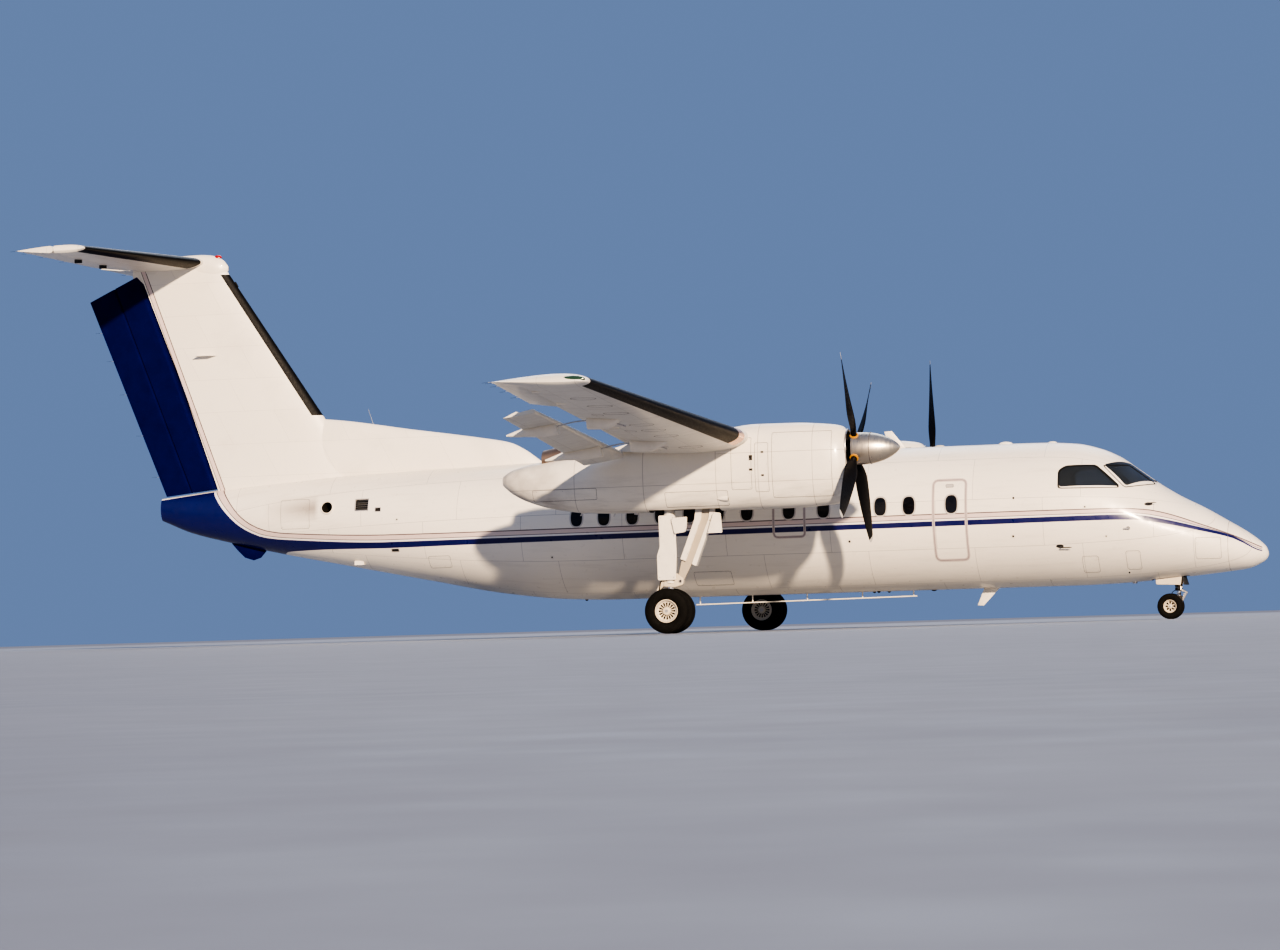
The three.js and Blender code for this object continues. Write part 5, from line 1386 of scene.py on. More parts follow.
def cabin_windows():
    for side, sign in SIDE_SIGNS:
        rings, panes = Build(), Build()
        for station in WINDOWS + ([DOOR_WINDOW_RIGHT] if sign < 0 else []):
            window(panes, rings, station, WINDOW["height"], sign)
            outline = oval_of(station, WINDOW["height"], WINDOW["wide"], WINDOW["high"])
            skin_band(rings, inset(outline, -0.004), 0.012, SEAL, sign, 0.0048)
        panes.object(f"window_panes_{side}", angle=STRIP_SHARP)
        rings.object(f"window_rings_{side}", angle=STRIP_SHARP)
    made = Build()
    window(made, made, 5.35, WINDOW["height"] + 0.02, 1)
    made.object("door_window", "airstair", angle=STRIP_SHARP)


def door_outlines():
    made = Build()
    for door, sign, width, seam in DOORS:
        skin_band(made, frame_of(*door), width, DOOR_BAND, sign)
        if seam:
            skin_band(made, inset(frame_of(*door), seam), 0.006, SEAM, sign, 0.0024)
    for station, height, sign in HANDLES:
        handle = frame_of(station - 0.07, station + 0.07, height - 0.03, height + 0.03, 0.02)
        skin_plate(made, handle, WINDOW_RING, sign, 0.003)
        skin_band(made, handle, 0.005, SEAM, sign, 0.004)
    made.object("door_outlines", angle=STRIP_SHARP)


def access_panels():
    made = Build()
    for front, back, low, high, sides in PANELS:
        for sign in sides:
            outline = frame_of(front, back, low, high, 0.04)
            skin_band(made, outline, 0.005, SEAM, sign, 0.0008)
            screws(made, inset(outline, 0.025)[::2], sign, 0.0012, 0.0045)
    # Each port is a pale ring round a near-black middle; the black is painted shade in the hole.
    for station, height, radius in PORTS:
        for sign in (-1, 1):
            for size, count, material, lift in ((4.4, 20, WHITE_PART, 0.0012), (1.7, 16, SOOT_AND_SHADE, 0.002)):
                outline = oval_of(station, height, radius * size, radius * size, count)
                skin_plate(made, outline, material, sign, lift, (1.0, 0.5, 0.1))
    seam = [hull_ring(s, grow)
            for s, grow in ((0.668, -0.004), (0.668, 0.0008), (0.673, 0.0008), (0.673, -0.004))]
    made.loft(seam, SEAM, caps=False)
    made.object("access_panels", angle=STRIP_SHARP)


def probe(build, station, height, sign, reach=0.075, length=0.17, radius=0.0095):
    """An air data tube on a short swept mast."""
    foot, normal = hull_skin(station, height, sign, -0.01)
    head = foot + normal * reach + Vector((0.055, 0, 0))
    build.rod(foot, head, radius * 1.9, LEG_DARK_AND_SHADE, radius * 1.1, 14)
    tube = [
        (-0.03, radius * 0.4), (-0.02, radius), (length - 0.04, radius), (length, radius * 0.62),
        (length, radius * 0.35), (length - 0.03, radius * 0.3),
    ]
    build.lathe(tube, head, (1, 0, 0), LEG_DARK_AND_SHADE, 20)
    plate = [hull_skin(station + 0.07 * math.cos(a) - 0.01, height + 0.03 * math.sin(a), sign, 0.002)[0]
             for a in full_turn(20)]
    under = [p - normal * 0.008 for p in plate]
    build.loft([under, plate], LEG_DARK_AND_SHADE)


def dome(build, station, half_long, half_wide, rise, material, top=True, y=0.0):
    """A low blister on the crown or on the belly."""
    base = hull_shape(station)[0 if top else 1]
    sign = 1 if top else -1
    rings = []
    for share in (-0.15, 0.0, 0.3, 0.55, 0.78, 0.93, 1.0):
        size = math.sqrt(max(0.0, 1 - max(0.0, share) ** 2)) + 0.02
        rings.append([P(station + half_long * size * math.cos(a), y + half_wide * size * math.sin(a),
                        base + sign * (rise * share - 0.004))
                      for a in full_turn(32)])
    build.loft(rings, material)


def blade_aerial(build, outline, half, material, y=0.0):
    """A swept blade with a thinner edge all round."""
    points = [Vector((s, h, 0)) for s, h in outline]
    inner = inset(spread(points, 0.1), 0.014)
    outer = spread(points, 0.1)
    rings = [[P(p.x, y + off, p.y) for p in ring]
             for ring, off in ((inner, -half), (outer, -half * 0.35), (outer, half * 0.35), (inner, half))]
    build.loft(rings, material)


AERIALS = [
    [(6.47, 1.27), (6.78, 1.27), (6.88, 1.61), (6.74, 1.62)],
    [(4.82, -1.27), (5.12, -1.27), (5.26, -1.6), (5.15, -1.61)],
]
BUMPER = [
    (19.49, 0.04), (19.49, -0.02), (19.38, -0.15), (19.24, -0.29), (19.07, -0.345), (18.93, -0.3),
    (18.84, -0.2), (18.8, -0.15), (18.8, -0.11),
]

# Station, half length, half width and rise, then the material or the distance from the centre line
CROWN_DOMES = [(4.655, 0.125, 0.06, 0.045, WHITE_PART), (3.805, 0.08, 0.045, 0.03, WHITE_PART),
               (5.865, 0.09, 0.05, 0.03, CREAM)]
BELLY_DOMES = [
    (6.05, 0.05, 0.03, 0.025, 0.0), (6.9, 0.03, 0.025, 0.03, 0.12), (7.05, 0.03, 0.025, 0.03, -0.1),
    (7.16, 0.03, 0.025, 0.03, 0.05), (12.6, 0.03, 0.025, 0.03, 0.1),
]


def hull_fittings():
    made = Build()
    for outline in AERIALS:
        blade_aerial(made, outline, 0.011, WHITE_PART)
    for station in (6.58, 6.70):
        made.rod(P(station, -0.03, 1.288), P(station, 0.03, 1.288), 0.012, STEEL)
    for station, long, wide, rise, material in CROWN_DOMES:
        dome(made, station, long, wide, rise, material)
    for station, long, wide, rise, y in BELLY_DOMES:
        dome(made, station, long, wide, rise, DARK_TRIM_AND_SHADE, False, y)
    for sign in (-1, 1):
        probe(made, 3.585, -0.60, sign)
        probe(made, 2.02, 0.10, sign, 0.05, 0.1, 0.007)
        vane, normal = hull_skin(2.36, -0.32, sign, -0.005)
        made.rod(vane, vane + normal * 0.012, 0.035, STEEL)
        made.rod(vane + normal * 0.01, vane + normal * 0.05, 0.008, STEEL)
        head = vane + normal * 0.05
        made.box(head + Vector((-0.075, -0.003, -0.012)), head + Vector((0.015, 0.003, 0.012)), STEEL)
    made.rod(P(2.4, 0, -1.2), P(2.4, 0, -1.295), 0.045, STEEL, segments=32)
    made.object("hull_fittings", angle=FITTING_SHARP)
    bumper = Build()
    points = spread([Vector((s, h, 0)) for s, h in BUMPER], 0.06)
    inner = inset(points, 0.02)
    rings = [[P(p.x, off, p.y) for p in ring]
             for ring, off in ((inner, -0.03), (points, -0.018), (points, 0.018), (inner, 0.03))]
    bumper.loft(rings, BLUE_PAINT)
    bumper.object("tail_bumper", angle=FITTING_SHARP)


def wiper(build, sign):
    """One windscreen wiper, parked along the lower edge."""
    facing, corners = PANES["windscreen"]
    out = Vector((-facing[0], facing[2] * sign, facing[1])).normalized()
    low = [P(s, y * sign, h) for s, h, y in corners]
    pivot = low[0].lerp(low[3], 0.1)
    tip = low[0].lerp(low[3], 0.72) + (low[1] - low[0]).normalized() * 0.05
    build.rod(pivot - out * 0.02, pivot + out * 0.035, 0.016, DARK_TRIM_AND_SHADE)
    build.rod(pivot + out * 0.03, pivot.lerp(tip, 0.55) + out * 0.03, 0.006, DARK_TRIM_AND_SHADE, 0.004, 10)
    build.rod(pivot.lerp(tip, 0.2) + out * 0.018, tip + out * 0.018, 0.007, SEAL, 0.007, 10)


def cockpit_fittings():
    made = Build()
    for sign in (-1, 1):
        wiper(made, sign)
    made.object("wipers", angle=FITTING_SHARP)
    frames = Build()
    for _, corners in PANES.values():
        for sign in (-1, 1):
            ring = [P(s, y * sign, h) for s, h, y in corners]
            outer = spread(rounded(grown(ring, 0.012), 0.065), 0.04)
            inner = respread(rounded(grown(ring, -0.022), 0.055), outer)
            rings = [[on_hull(p, lift) for p, lift in ((a, -0.004), (a, 0.002), (b, 0.002), (b, -0.004))]
                     for a, b in zip(outer, inner)]
            frames.hoop(rings, SEAL)
    frames.object("window_seals", angle=STRIP_SHARP)


def respread(inner, outer):
    """For each outer point, the nearest place on the inner outline."""
    fine = spread(inner, 0.004)
    return [min(fine, key=lambda q, p=p: (q - p).length) for p in outer]


def on_hull(point, lift):
    station, height = LENGTH / 2 - point.x, point.z - AXIS
    return hull_skin(station, height, math.copysign(1, point.y), lift)[0]


def tail_openings(rear):
    """The auxiliary exhaust and the louvred vent, cut in the right side."""
    exhaust, normal = hull_skin(17.33, 0.574, -1)
    hole = Build().rod(exhaust - normal * 0.3, exhaust + normal * 0.2, 0.104, SOOT_AND_SHADE,
                       segments=48).object("tool", None)
    # The vent's box is near-black inside, painted shade behind the louvres.
    vent = station_box(16.5, 16.75, -2.0, -0.72, 0.50, 0.70, BAY_SHADE)
    carve(rear, [hole, vent])
    made = Build()
    rim = [(0.118 + 0.016 * math.cos(turn), 0.008 + 0.014 * math.sin(turn)) for turn in full_turn(16)]
    other = normal.cross(Vector((1, 0, 0))).normalized()
    ahead = other.cross(normal)
    rings = []
    for turn in full_turn(48):
        ray = ahead * math.cos(turn) + other * math.sin(turn)
        seat = on_hull(exhaust + ray * 0.118, 0.0)
        rings.append([seat + ray * (r - 0.118) + normal * up for r, up in rim])
    made.hoop(rings, WHITE_PART)
    made.lathe([(-0.26, 0.098), (0.012, 0.098), (0.012, 0.103), (-0.26, 0.103)], exhaust, normal, SOOT_AND_SHADE, 48)
    for k in range(5):
        height = 0.52 + 0.04 * k
        slat = [hull_skin(station, height + off, -1, lift)[0] for station, off, lift in
                ((16.5, 0, -0.004), (16.75, 0, -0.004), (16.75, 0.016, -0.03), (16.5, 0.016, -0.03))]
        made.loft([slat, [p + Vector((0, 0, -0.003)) for p in slat]], STEEL)
    skin_band(made, frame_of(16.485, 16.765, 0.485, 0.715, 0.01), 0.012, STEEL, -1, 0.003)
    # Two small openings, filled with near-black plates as painted shade.
    for front, back, low, high in ((16.24, 16.34, 0.47, 0.53), (15.92, 16.06, -0.285, -0.245)):
        skin_plate(made, frame_of(front, back, low, high, 0.008), SOOT_AND_SHADE, -1, 0.0015)
        skin_band(made, frame_of(front - 0.01, back + 0.01, low - 0.01, high + 0.01, 0.008), 0.008, STEEL,
                  -1, 0.003)
    lamp_box = hull_skin(16.82, -0.46, -1)[0]
    made.box(lamp_box + Vector((-0.09, -0.05, -0.05)), lamp_box + Vector((0.09, 0.03, 0.03)), WHITE_PART)
    made.object("tail_openings", angle=FITTING_SHARP)


cabin_windows()
door_outlines()
access_panels()
hull_fittings()
cockpit_fittings()
tail_openings(bpy.data.objects["rear_skin"])

# Landing gear legs
MAIN_AXLE_HEIGHT = MAIN_TYRE["radius"] - AXIS
NOSE_AXLE_HEIGHT = NOSE_TYRE["radius"] - AXIS
LEG_FAIRING = [
    (10.19, 0.11), (9.895, 0.11), (9.88, -0.56), (9.905, -1.02), (10.23, -1.02), (10.235, -0.59),
    (10.18, -0.44),
]
YOKE = [(10.15, -1.13), (10.12, -0.95), (9.9, -0.9), (9.78, -1.01), (9.8, -1.11), (9.95, -1.15)]
BRACE_WEB = [
    (9.16, 0.55), (9.46, 0.55), (9.54, 0.02), (9.80, -0.62), (9.89, -1.0), (9.8, -1.06), (9.62, -0.72),
    (9.26, 0.02),
]
BRACE_BACK = [(9.36, 0.55), (9.48, 0.55), (9.56, 0.02), (9.83, -0.66), (9.73, -0.70), (9.44, 0.02)]
BRACE_FRONT = [(9.13, 0.55), (9.20, 0.55), (9.30, 0.02), (9.62, -0.76), (9.55, -0.79), (9.24, 0.02)]
AFT_DOOR = [(9.95, 0.06), (9.66, 0.075), (9.67, -0.09), (9.70, -0.19), (9.9, -0.215)]
FRONT_DOOR = [(9.19, 0.14), (9.06, 0.12), (9.04, -0.225), (9.31, -0.225)]
FAIRING_BLOCKS = [((10.1, top), (9.96, top), (9.96, low), (10.1, low))
                  for top, low in ((0.06, -0.06), (-0.8, -0.95))]
DOOR_BRACKET = [(9.95, 0.03), (9.7, 0.03), (9.7, -0.03), (9.95, -0.03)]
UPPER_LINK = [(10.08, -0.93), (10.14, -0.95), (10.28, -1.19), (10.25, -1.22), (10.08, -1.06)]
LOWER_LINK = [(10.25, -1.19), (10.29, -1.21), (10.13, -1.47), (10.06, -1.49), (10.08, -1.4)]
# Distance down from the leg's top, and radius
LEG_ROWS = [
    (0, 0.086), (0.42, 0.086), (0.43, 0.094), (0.50, 0.094), (0.51, 0.086), (1.46, 0.086), (1.47, 0.097),
    (1.56, 0.097), (1.57, 0.088), (1.63, 0.088), (1.64, 0.062),
]
HUB_ROWS = [(-0.072, 0.046), (-0.072, 0.076), (-0.05, 0.082), (0.05, 0.082), (0.072, 0.076), (0.072, 0.046)]
# Station and height of the screws on the leg's fairing, and of the link's pins
FAIRING_SCREWS = [
    (9.93, 0.07), (10.15, 0.07), (9.92, -0.25), (10.15, -0.25), (9.92, -0.6), (10.19, -0.6), (9.94, -0.97),
    (10.19, -0.97),
]
LINK_PINS = [(10.265, -1.205), (10.1, -0.97), (10.09, -1.46)]
# Hoses of the main leg: station, height and distance across; the first row is made twice, side by side
BRAKE_HOSE = [
    (10.115, 0.4, 1.0), (10.118, -0.3, 1.0), (10.125, -0.85, 1.15), (10.2, -1.08, 1.3), (10.22, -1.3, 1.1),
    (10.13, -1.5, 1.0),
]
LOCK_PIPE = [(9.93, 0.35, 0.04), (9.925, -0.3, 0.05), (9.925, -0.8, 0.055), (9.97, -0.88, 0.05)]
DOWN = (0, 0, -1)


def soft_plate(build, outline, y0, y1, material, edge=0.006, radius=0.02):
    """A side-view plate with rounded corners and a small bevel on both faces."""
    ring = rounded([Vector((s, h, 0)) for s, h in outline], radius, 4)
    inner = inset(ring, edge)
    low, high = min(y0, y1), max(y0, y1)
    spots = ((inner, low), (ring, low + edge), (ring, high - edge), (inner, high))
    return build.loft([[P(p.x, off, p.y) for p in points] for points, off in spots], material)


def main_leg(side, mirror):
    y = -NACELLE_Y
    made = Build()

    def at(station, height, across=0.0):
        return P(station, y + across, height)

    def plate(outline, y0, y1, material, edge=0.006, radius=0.02):
        soft_plate(made, outline, y + y0, y + y1, material, edge, radius)

    def pin(station, height, half, radius, segments):
        made.rod(at(station, height, -half), at(station, height, half), radius, STEEL, segments=segments)

    made.lathe(LEG_ROWS, at(10.02, 0.559), DOWN, WHITE_PART, 48)
    made.rod(at(10.03, -1.05), at(10.05, MAIN_AXLE_HEIGHT), 0.056, CHROME, segments=40)
    made.lathe(HUB_ROWS, at(10.05, MAIN_AXLE_HEIGHT), (0, 1, 0), STEEL, 40)
    plate(LEG_FAIRING, -0.125, -0.1, WHITE_PART, 0.008, 0.03)
    for outline in FAIRING_BLOCKS:
        plate(outline, -0.104, 0.07, CREAM)
    for station, height in FAIRING_SCREWS:
        made.rod(at(station, height, -0.123), at(station, height, -0.128), 0.009, STEEL, segments=12)
    plate(YOKE, -0.062, 0.062, CREAM, 0.012, 0.03)
    pin(9.835, -1.04, 0.082, 0.026, 24)
    # A near-black disc on the pin's end, painted shade in its hollow.
    made.rod(at(9.835, -1.04, -0.089), at(9.835, -1.04, -0.08), 0.014, SOOT_AND_SHADE)
    plate(BRACE_WEB, -0.036, 0.036, BEIGE, 0.006, 0.03)
    for outline, half in ((BRACE_BACK, 0.078), (BRACE_FRONT, 0.072)):
        plate(outline, -half, half, WHITE_PART, 0.008, 0.012)
    for share in (0.15, 0.38, 0.61, 0.84):
        spot = at(lerp(9.44, 9.74, share), lerp(0.02, -0.68, share), -0.079)
        made.rod(spot, spot + Vector((0, -0.004, 0)), 0.007, STEEL, segments=10)
    pin(9.31, 0.30, 0.13, 0.04, 28)
    made.rod(at(9.55, 0.44), at(9.42, -0.05), 0.028, STEEL)
    made.rod(at(9.42, -0.05), at(9.52, -0.36), 0.018, CHROME)
    for outline in (AFT_DOOR, FRONT_DOOR):
        plate(outline, -0.175, -0.16, WHITE_PART, 0.003)
    plate(DOOR_BRACKET, -0.166, -0.07, CREAM)
    made.rod(at(9.17, 0.0, -0.162), at(9.28, 0.0, -0.06), 0.018, CREAM)
    for outline in (AFT_DOOR, FRONT_DOOR):
        middle = [sum(p[k] for p in outline) / len(outline) for k in (0, 1)]
        for s, h in outline:
            corner = at(lerp(s, middle[0], 0.14), lerp(h, middle[1], 0.14), -0.174)
            made.rod(corner, corner + Vector((0, -0.004, 0)), 0.007, STEEL, segments=10)
    plate(UPPER_LINK, -0.045, 0.045, CREAM, 0.008, 0.015)
    plate(LOWER_LINK, -0.034, 0.034, CREAM, 0.008, 0.015)
    for station, height in LINK_PINS:
        pin(station, height, 0.056, 0.015, 18)
    for across in (-0.05, 0.05):
        hose(made, [at(station, height, across * share) for station, height, share in BRAKE_HOSE],
             0.009, SEAL)
    hose(made, [at(*spot) for spot in LOCK_PIPE], 0.008, STEEL)
    for height in (0.1, -0.3, -0.7):
        made.rod(at(10.02, height + 0.012), at(10.02, height - 0.012), 0.092, STEEL, segments=40)
    made.object(f"main_gear_{side}", "root", [f"main_leg_{side}"], FITTING_SHARP, mirror)


both_sides(main_leg)

STEER = NOSE_STATION - 0.15
COLLAR = -1.385
BAY_DOOR = [(1.53, -1.12), (2.01, -1.13), (2.0, -1.325), (1.56, -1.345)]
BAY_DOOR_SCREWS = [(1.57, -1.14), (1.97, -1.15), (1.965, -1.3), (1.59, -1.315), (1.78, -1.145), (1.78, -1.31)]
STRUT_ROWS = [
    (0, 0.061), (0.3, 0.061), (0.31, 0.068), (0.36, 0.068), (0.37, 0.061), (0.60, 0.061), (0.61, 0.066),
    (0.638, 0.066), (0.638, 0.0395), (0.5, 0.0395),
]
COLLAR_ROWS = [(0, 0.04), (0, 0.062), (0.008, 0.066), (0.05, 0.066), (0.06, 0.058), (0.06, 0.04)]
# A lamp's housing and glass, as shares of its radius
LAMP_SHELL = [(-1.0, 0.3), (-0.8, 0.75), (0.0, 1.0)]
LAMP_LENS = [(0.0, 0.9), (0.25, 0.7), (0.36, 0.35)]


def steer_at(aft, across, height):
    """A point measured from the steering axis."""
    return P(STEER + aft, across, height)


def nose_strut():
    made = Build()
    # The nose strut is dark grey, partly its paint and partly painted shade.
    made.lathe(STRUT_ROWS, steer_at(0, 0, -0.7405), DOWN, LEG_DARK_AND_SHADE, 40)
    made.rod(steer_at(0.33, 0, -0.78), steer_at(0.02, 0, -1.26), 0.024, LEG_DARK_AND_SHADE, segments=24)
    made.rod(steer_at(0, -0.078, -1.29), steer_at(0, 0.078, -1.29), 0.04, LEG_DARK_AND_SHADE, segments=28)
    for sign in (-1, 1):
        made.rod(steer_at(0, sign * 0.07, -0.86), steer_at(0, sign * 0.18, -0.86), 0.03, STEEL)
        made.rod(steer_at(0.06, sign * 0.065, -1.29), steer_at(0.19, sign * 0.065, -1.30), 0.021, CHROME)
        hose(made, [steer_at(aft, sign * across, height) for aft, across, height in
                    ((0.05, 0.03, -0.8), (0.075, 0.035, -1.05), (0.085, 0.05, -1.24))], 0.007, SEAL)
    made.object("nose_strut_body", "root", ["nose_strut"], FITTING_SHARP)


def nose_lamp(build, across, height, size):
    spot = steer_at(-0.035, across, height)
    build.rod(steer_at(0, across * 0.5, height), steer_at(0, across, height), 0.3 * size, LEG_DARK_AND_SHADE)
    shell = [(size * along, size * radius) for along, radius in LAMP_SHELL]
    shell += [(0.008, size), (0.01, size * 0.9)]
    lens = [(size * along, size * radius) for along, radius in LAMP_LENS] + [(size * 0.38, 0.002)]
    build.lathe(shell, spot, (1, 0, 0), LEG_DARK_AND_SHADE, 36)
    build.lathe(lens, spot, (1, 0, 0), LAMP_WHITE, 36)


def nose_fork():
    made = Build()
    axle = NOSE_AXLE_HEIGHT
    made.rod(steer_at(0, 0, -1.205), steer_at(0, 0, axle + 0.06), 0.0378, CHROME, segments=36)
    made.lathe(COLLAR_ROWS, steer_at(0, 0, COLLAR), DOWN, LEG_DARK_AND_SHADE, 40)
    fork = [
        (STEER - 0.062, axle + 0.19), (STEER + 0.02, axle + 0.19), (NOSE_STATION + 0.045, axle + 0.02),
        (NOSE_STATION + 0.02, axle - 0.045), (NOSE_STATION - 0.06, axle - 0.045),
        (STEER - 0.062, axle + 0.06),
    ]
    # The fork is dark grey, partly its paint and partly painted shade.
    soft_plate(made, fork, -0.042, 0.042, LEG_DARK_AND_SHADE, 0.01, 0.03)
    upper = [(STEER - 0.03, COLLAR - 0.012), (STEER - 0.155, COLLAR - 0.085), (STEER - 0.155, COLLAR - 0.12),
             (STEER - 0.02, COLLAR - 0.058)]
    lower = [(STEER - 0.122, COLLAR - 0.08), (STEER - 0.155, COLLAR - 0.095), (STEER - 0.07, axle + 0.085),
             (STEER - 0.035, axle + 0.12)]
    for link, half in ((upper, 0.03), (lower, 0.024)):
        soft_plate(made, link, -half, half, STEEL, 0.006, 0.012)
    made.rod(steer_at(-0.142, -0.04, COLLAR - 0.1), steer_at(-0.142, 0.04, COLLAR - 0.1), 0.012, STEEL)
    hose(made, [steer_at(0.05, 0.03, COLLAR - 0.04), steer_at(0.13, 0.05, COLLAR - 0.1),
                steer_at(0.10, 0.035, axle + 0.14)], 0.006, SEAL)
    for across, drop, size in ((-0.095, 0.015, 0.052), (0.095, 0.015, 0.052), (-0.07, 0.115, 0.022)):
        nose_lamp(made, across, COLLAR - drop, size)
    made.object("nose_fork", "nose_steering", ["nose_steered_leg"], FITTING_SHARP)


def nose_bay_doors():
    made = Build()
    for sign in (-1, 1):
        soft_plate(made, BAY_DOOR, sign * 0.181, sign * 0.199, CREAM, 0.004)
        for station in (1.63, 1.9):
            made.rod(P(station, sign * 0.178, -1.13), P(station, sign * 0.178, -1.22), 0.01, STEEL)
        for station, height in BAY_DOOR_SCREWS:
            made.rod(P(station, sign * 0.198, height), P(station, sign * 0.2025, height), 0.006, STEEL,
                     segments=10)
    # The front door of the nose bay, near-black as painted shade, for the shadow it hangs in.
    bow = [
        (-0.185, 0.0), (-0.16, 0.035), (-0.1, 0.055), (0.0, 0.062), (0.1, 0.055), (0.16, 0.035),
        (0.185, 0.0),
    ]
    rings = []
    for across, lean in bow:
        top, low = (1.525 - 0.5 * lean, -1.165), (1.5 - lean, -1.345)
        rings.append([P(spot[0] + off, across, spot[1]) for spot, off in
                      ((top, -0.005), (top, 0.005), (low, 0.005), (low, -0.005))])
    made.loft(rings, DARK_TRIM_AND_SHADE)
    made.object("nose_bay_doors", angle=FITTING_SHARP)


nose_strut()
nose_fork()
nose_bay_doors()

# Fittings on the wings, nacelles and tail
def upright_skin(s, aft, side, lift=0.0):
    """A point of the fin's skin, with aft as a share of the chord."""
    return P(s["station"] + aft * s["chord"], side * (foil(s["thick"], aft) * s["chord"] + lift), s["height"])


def wick(build, spot, direction, length=0.14):
    """A thin static discharger on a trailing edge."""
    way = Vector(direction).normalized()
    build.rod(spot - way * 0.03, spot + way * 0.04, 0.0045, STEEL, 0.003, 8)
    build.rod(spot + way * 0.04, spot + way * length, 0.002, SEAL, 0.0012, 6)


def wing_oval(build, y, aft, long, wide):
    """A flush oval access panel with its dark seam and screws, on the wing's lower skin."""
    chord = wing_at(y)["chord"]

    def skin(share, across, up):
        s = wing_at(across)
        return on_section(s, share, -(LOWER * foil(s["thick"], share) + up / s["chord"]))

    def ring(size, up):
        return [skin(aft + long / chord / 2 * size * math.cos(t), y + wide / 2 * size * math.sin(t), up)
                for t in full_turn(28)]

    build.loft([ring(1.0, -0.004), ring(1.0, 0.0012), ring(0.955, 0.0012), ring(0.95, 0.0)], SEAM, caps=False)
    for spot in ring(0.88, 0.0)[::2]:
        build.rod(spot + Vector((0, 0, 0.002)), spot - Vector((0, 0, 0.0015)), 0.006, STEEL, segments=8)


def aileron_hinge(build, y):
    """The fairing ahead of an aileron's hinge."""
    rings = []
    for share in steps(0.6, 0.69, 0.03):
        spot = lower_skin(wing_at(y), share)
        swell = math.sin(math.pi * (share - 0.58) / 0.34)
        height = spot.z - AXIS
        rings.append(cross(LENGTH / 2 - spot.x, spot.y, height + 0.01, height - 0.045 * swell,
                           0.005 + 0.022 * swell, 2.0, 20))
    build.loft(rings, WHITE_PART)


def tip_lamp(side, mirror):
    light = on_section({**section_of(WING_SPAN, 1), "y": -12.90}, 0.17, 0.012)
    rings = []
    for share in (0.02, 0.1, 0.25, 0.45, 0.65, 0.85, 0.96, 1.0):
        size = math.sin(math.pi * share) ** 0.5 if share < 1 else 0.02
        x = light.x + lerp(0.24, -0.2, share)
        rings.append([Vector((x, light.y + 0.002 - 0.05 * size * math.cos(a),
                              light.z + 0.06 * size * math.sin(a)))
                      for a in full_turn(20)])
    lens = Build().loft(rings, LAMP_RED if mirror else LAMP_GREEN)
    lens.object(f"tip_lamp_{side}", angle=STRIP_SHARP, mirror=mirror)


def wing_fittings(side, mirror):
    made = Build()
    for y in (5.2, 6.7, 7.45, 8.15, 9.6, 10.5, 11.4):
        wing_oval(made, y, 0.33, 0.42, 0.26)
    for y in (5.35, 7.4, 9.4):
        wing_oval(made, y, 0.52, 0.2, 0.2)
    for y in (11.0, 11.7, 12.3):
        wick(made, on_section(wing_at(y), 1.0, 0), (-1, 0, -0.05))
    for y in (12.65, 12.85):
        wick(made, on_section({**wing_at(12.7), "y": -y}, 0.99, 0), (-1, -0.15, -0.05))
    for y in (10.75, 12.15):
        aileron_hinge(made, y)
    tip_lamp(side, mirror)
    for y, aft in ((5.0, 0.62), (7.9, 0.6)):
        base = lower_skin(wing_at(y), aft)
        outline = [(0.14, 0.0), (0.1, -0.05), (-0.16, -0.07), (-0.18, 0.0)]
        made.loft([[base + Vector((x, off, z + 0.006)) for x, z in outline] for off in (-0.006, 0.006)],
                  WHITE_PART)
    # A near-black disc in the leading edge: painted shade in the inlet's mouth.
    inlet = on_section(wing_at(4.75), 0.012, 0.0)
    made.rod(inlet + Vector((-0.02, 0.1, -0.03)), inlet + Vector((0.012, 0.1, -0.03)), 0.03, DARK_TRIM_AND_SHADE,
             segments=24)
    made.object(f"wing_fittings_{side}", angle=FITTING_SHARP, mirror=mirror)


def nacelle_skin(station, height, side=-1, lift=0.0):
    """A point of the right nacelle's skin, on its outer (-1) or inner (1) side, and its normal."""
    top, bottom, half, power = (smooth(NACELLE, station, k) for k in (1, 2, 3, 4))
    middle, high = (top + bottom) / 2, (top - bottom) / 2
    t = max(-0.98, min(0.98, (height - middle) / high))
    across = (1 - abs(t) ** power) ** (1 / power)
    normal = Vector((0, side * across ** (power - 1) / half,
                     math.copysign(abs(t) ** (power - 1), t) / high)).normalized()
    return P(station, -NACELLE_Y + side * half * across, middle + t * high) + normal * lift, normal


# Seamed panels and vents of the cowling: front, back, low, high
COWL_PANELS = [
    (7.02, 8.06, 0.34, 1.47), (8.12, 8.36, 0.45, 1.30), (8.42, 8.78, 0.5, 1.40), (8.86, 9.98, 0.24, 0.50),
    (11.2, 12.4, 0.42, 0.62),
]
COWL_VENTS = [
    (8.40, 8.46, 1.0, 1.09), (8.40, 8.46, 0.82, 0.86), (8.2, 8.25, 1.12, 1.15), (8.2, 8.25, 0.72, 0.75),
]


def cowl_scoop(build, face):
    """A small air scoop, and a near-black plate in its mouth as painted shade."""
    scoop = nacelle_skin(8.95, 0.36, face)[0]
    mouth = scoop + Vector((0.085, 0, 0))
    rings = []
    for off, size in ((0.085, 1.0), (0.03, 1.0), (-0.05, 0.7), (-0.12, 0.1)):
        ring = []
        for a in full_turn(24):
            out = face * 0.035 * size * math.cos(a) * (1 if math.cos(a) > 0 else 0.3)
            ring.append(scoop + Vector((off, out, 0.042 * size * math.sin(a))))
        rings.append(ring)
    build.loft(rings, WHITE_PART)
    build.loft([[p + Vector((ahead, 0, 0)) + (mouth - p) * 0.2 for p in rings[0]]
                for ahead in (0.001, 0.002)], SOOT_AND_SHADE)


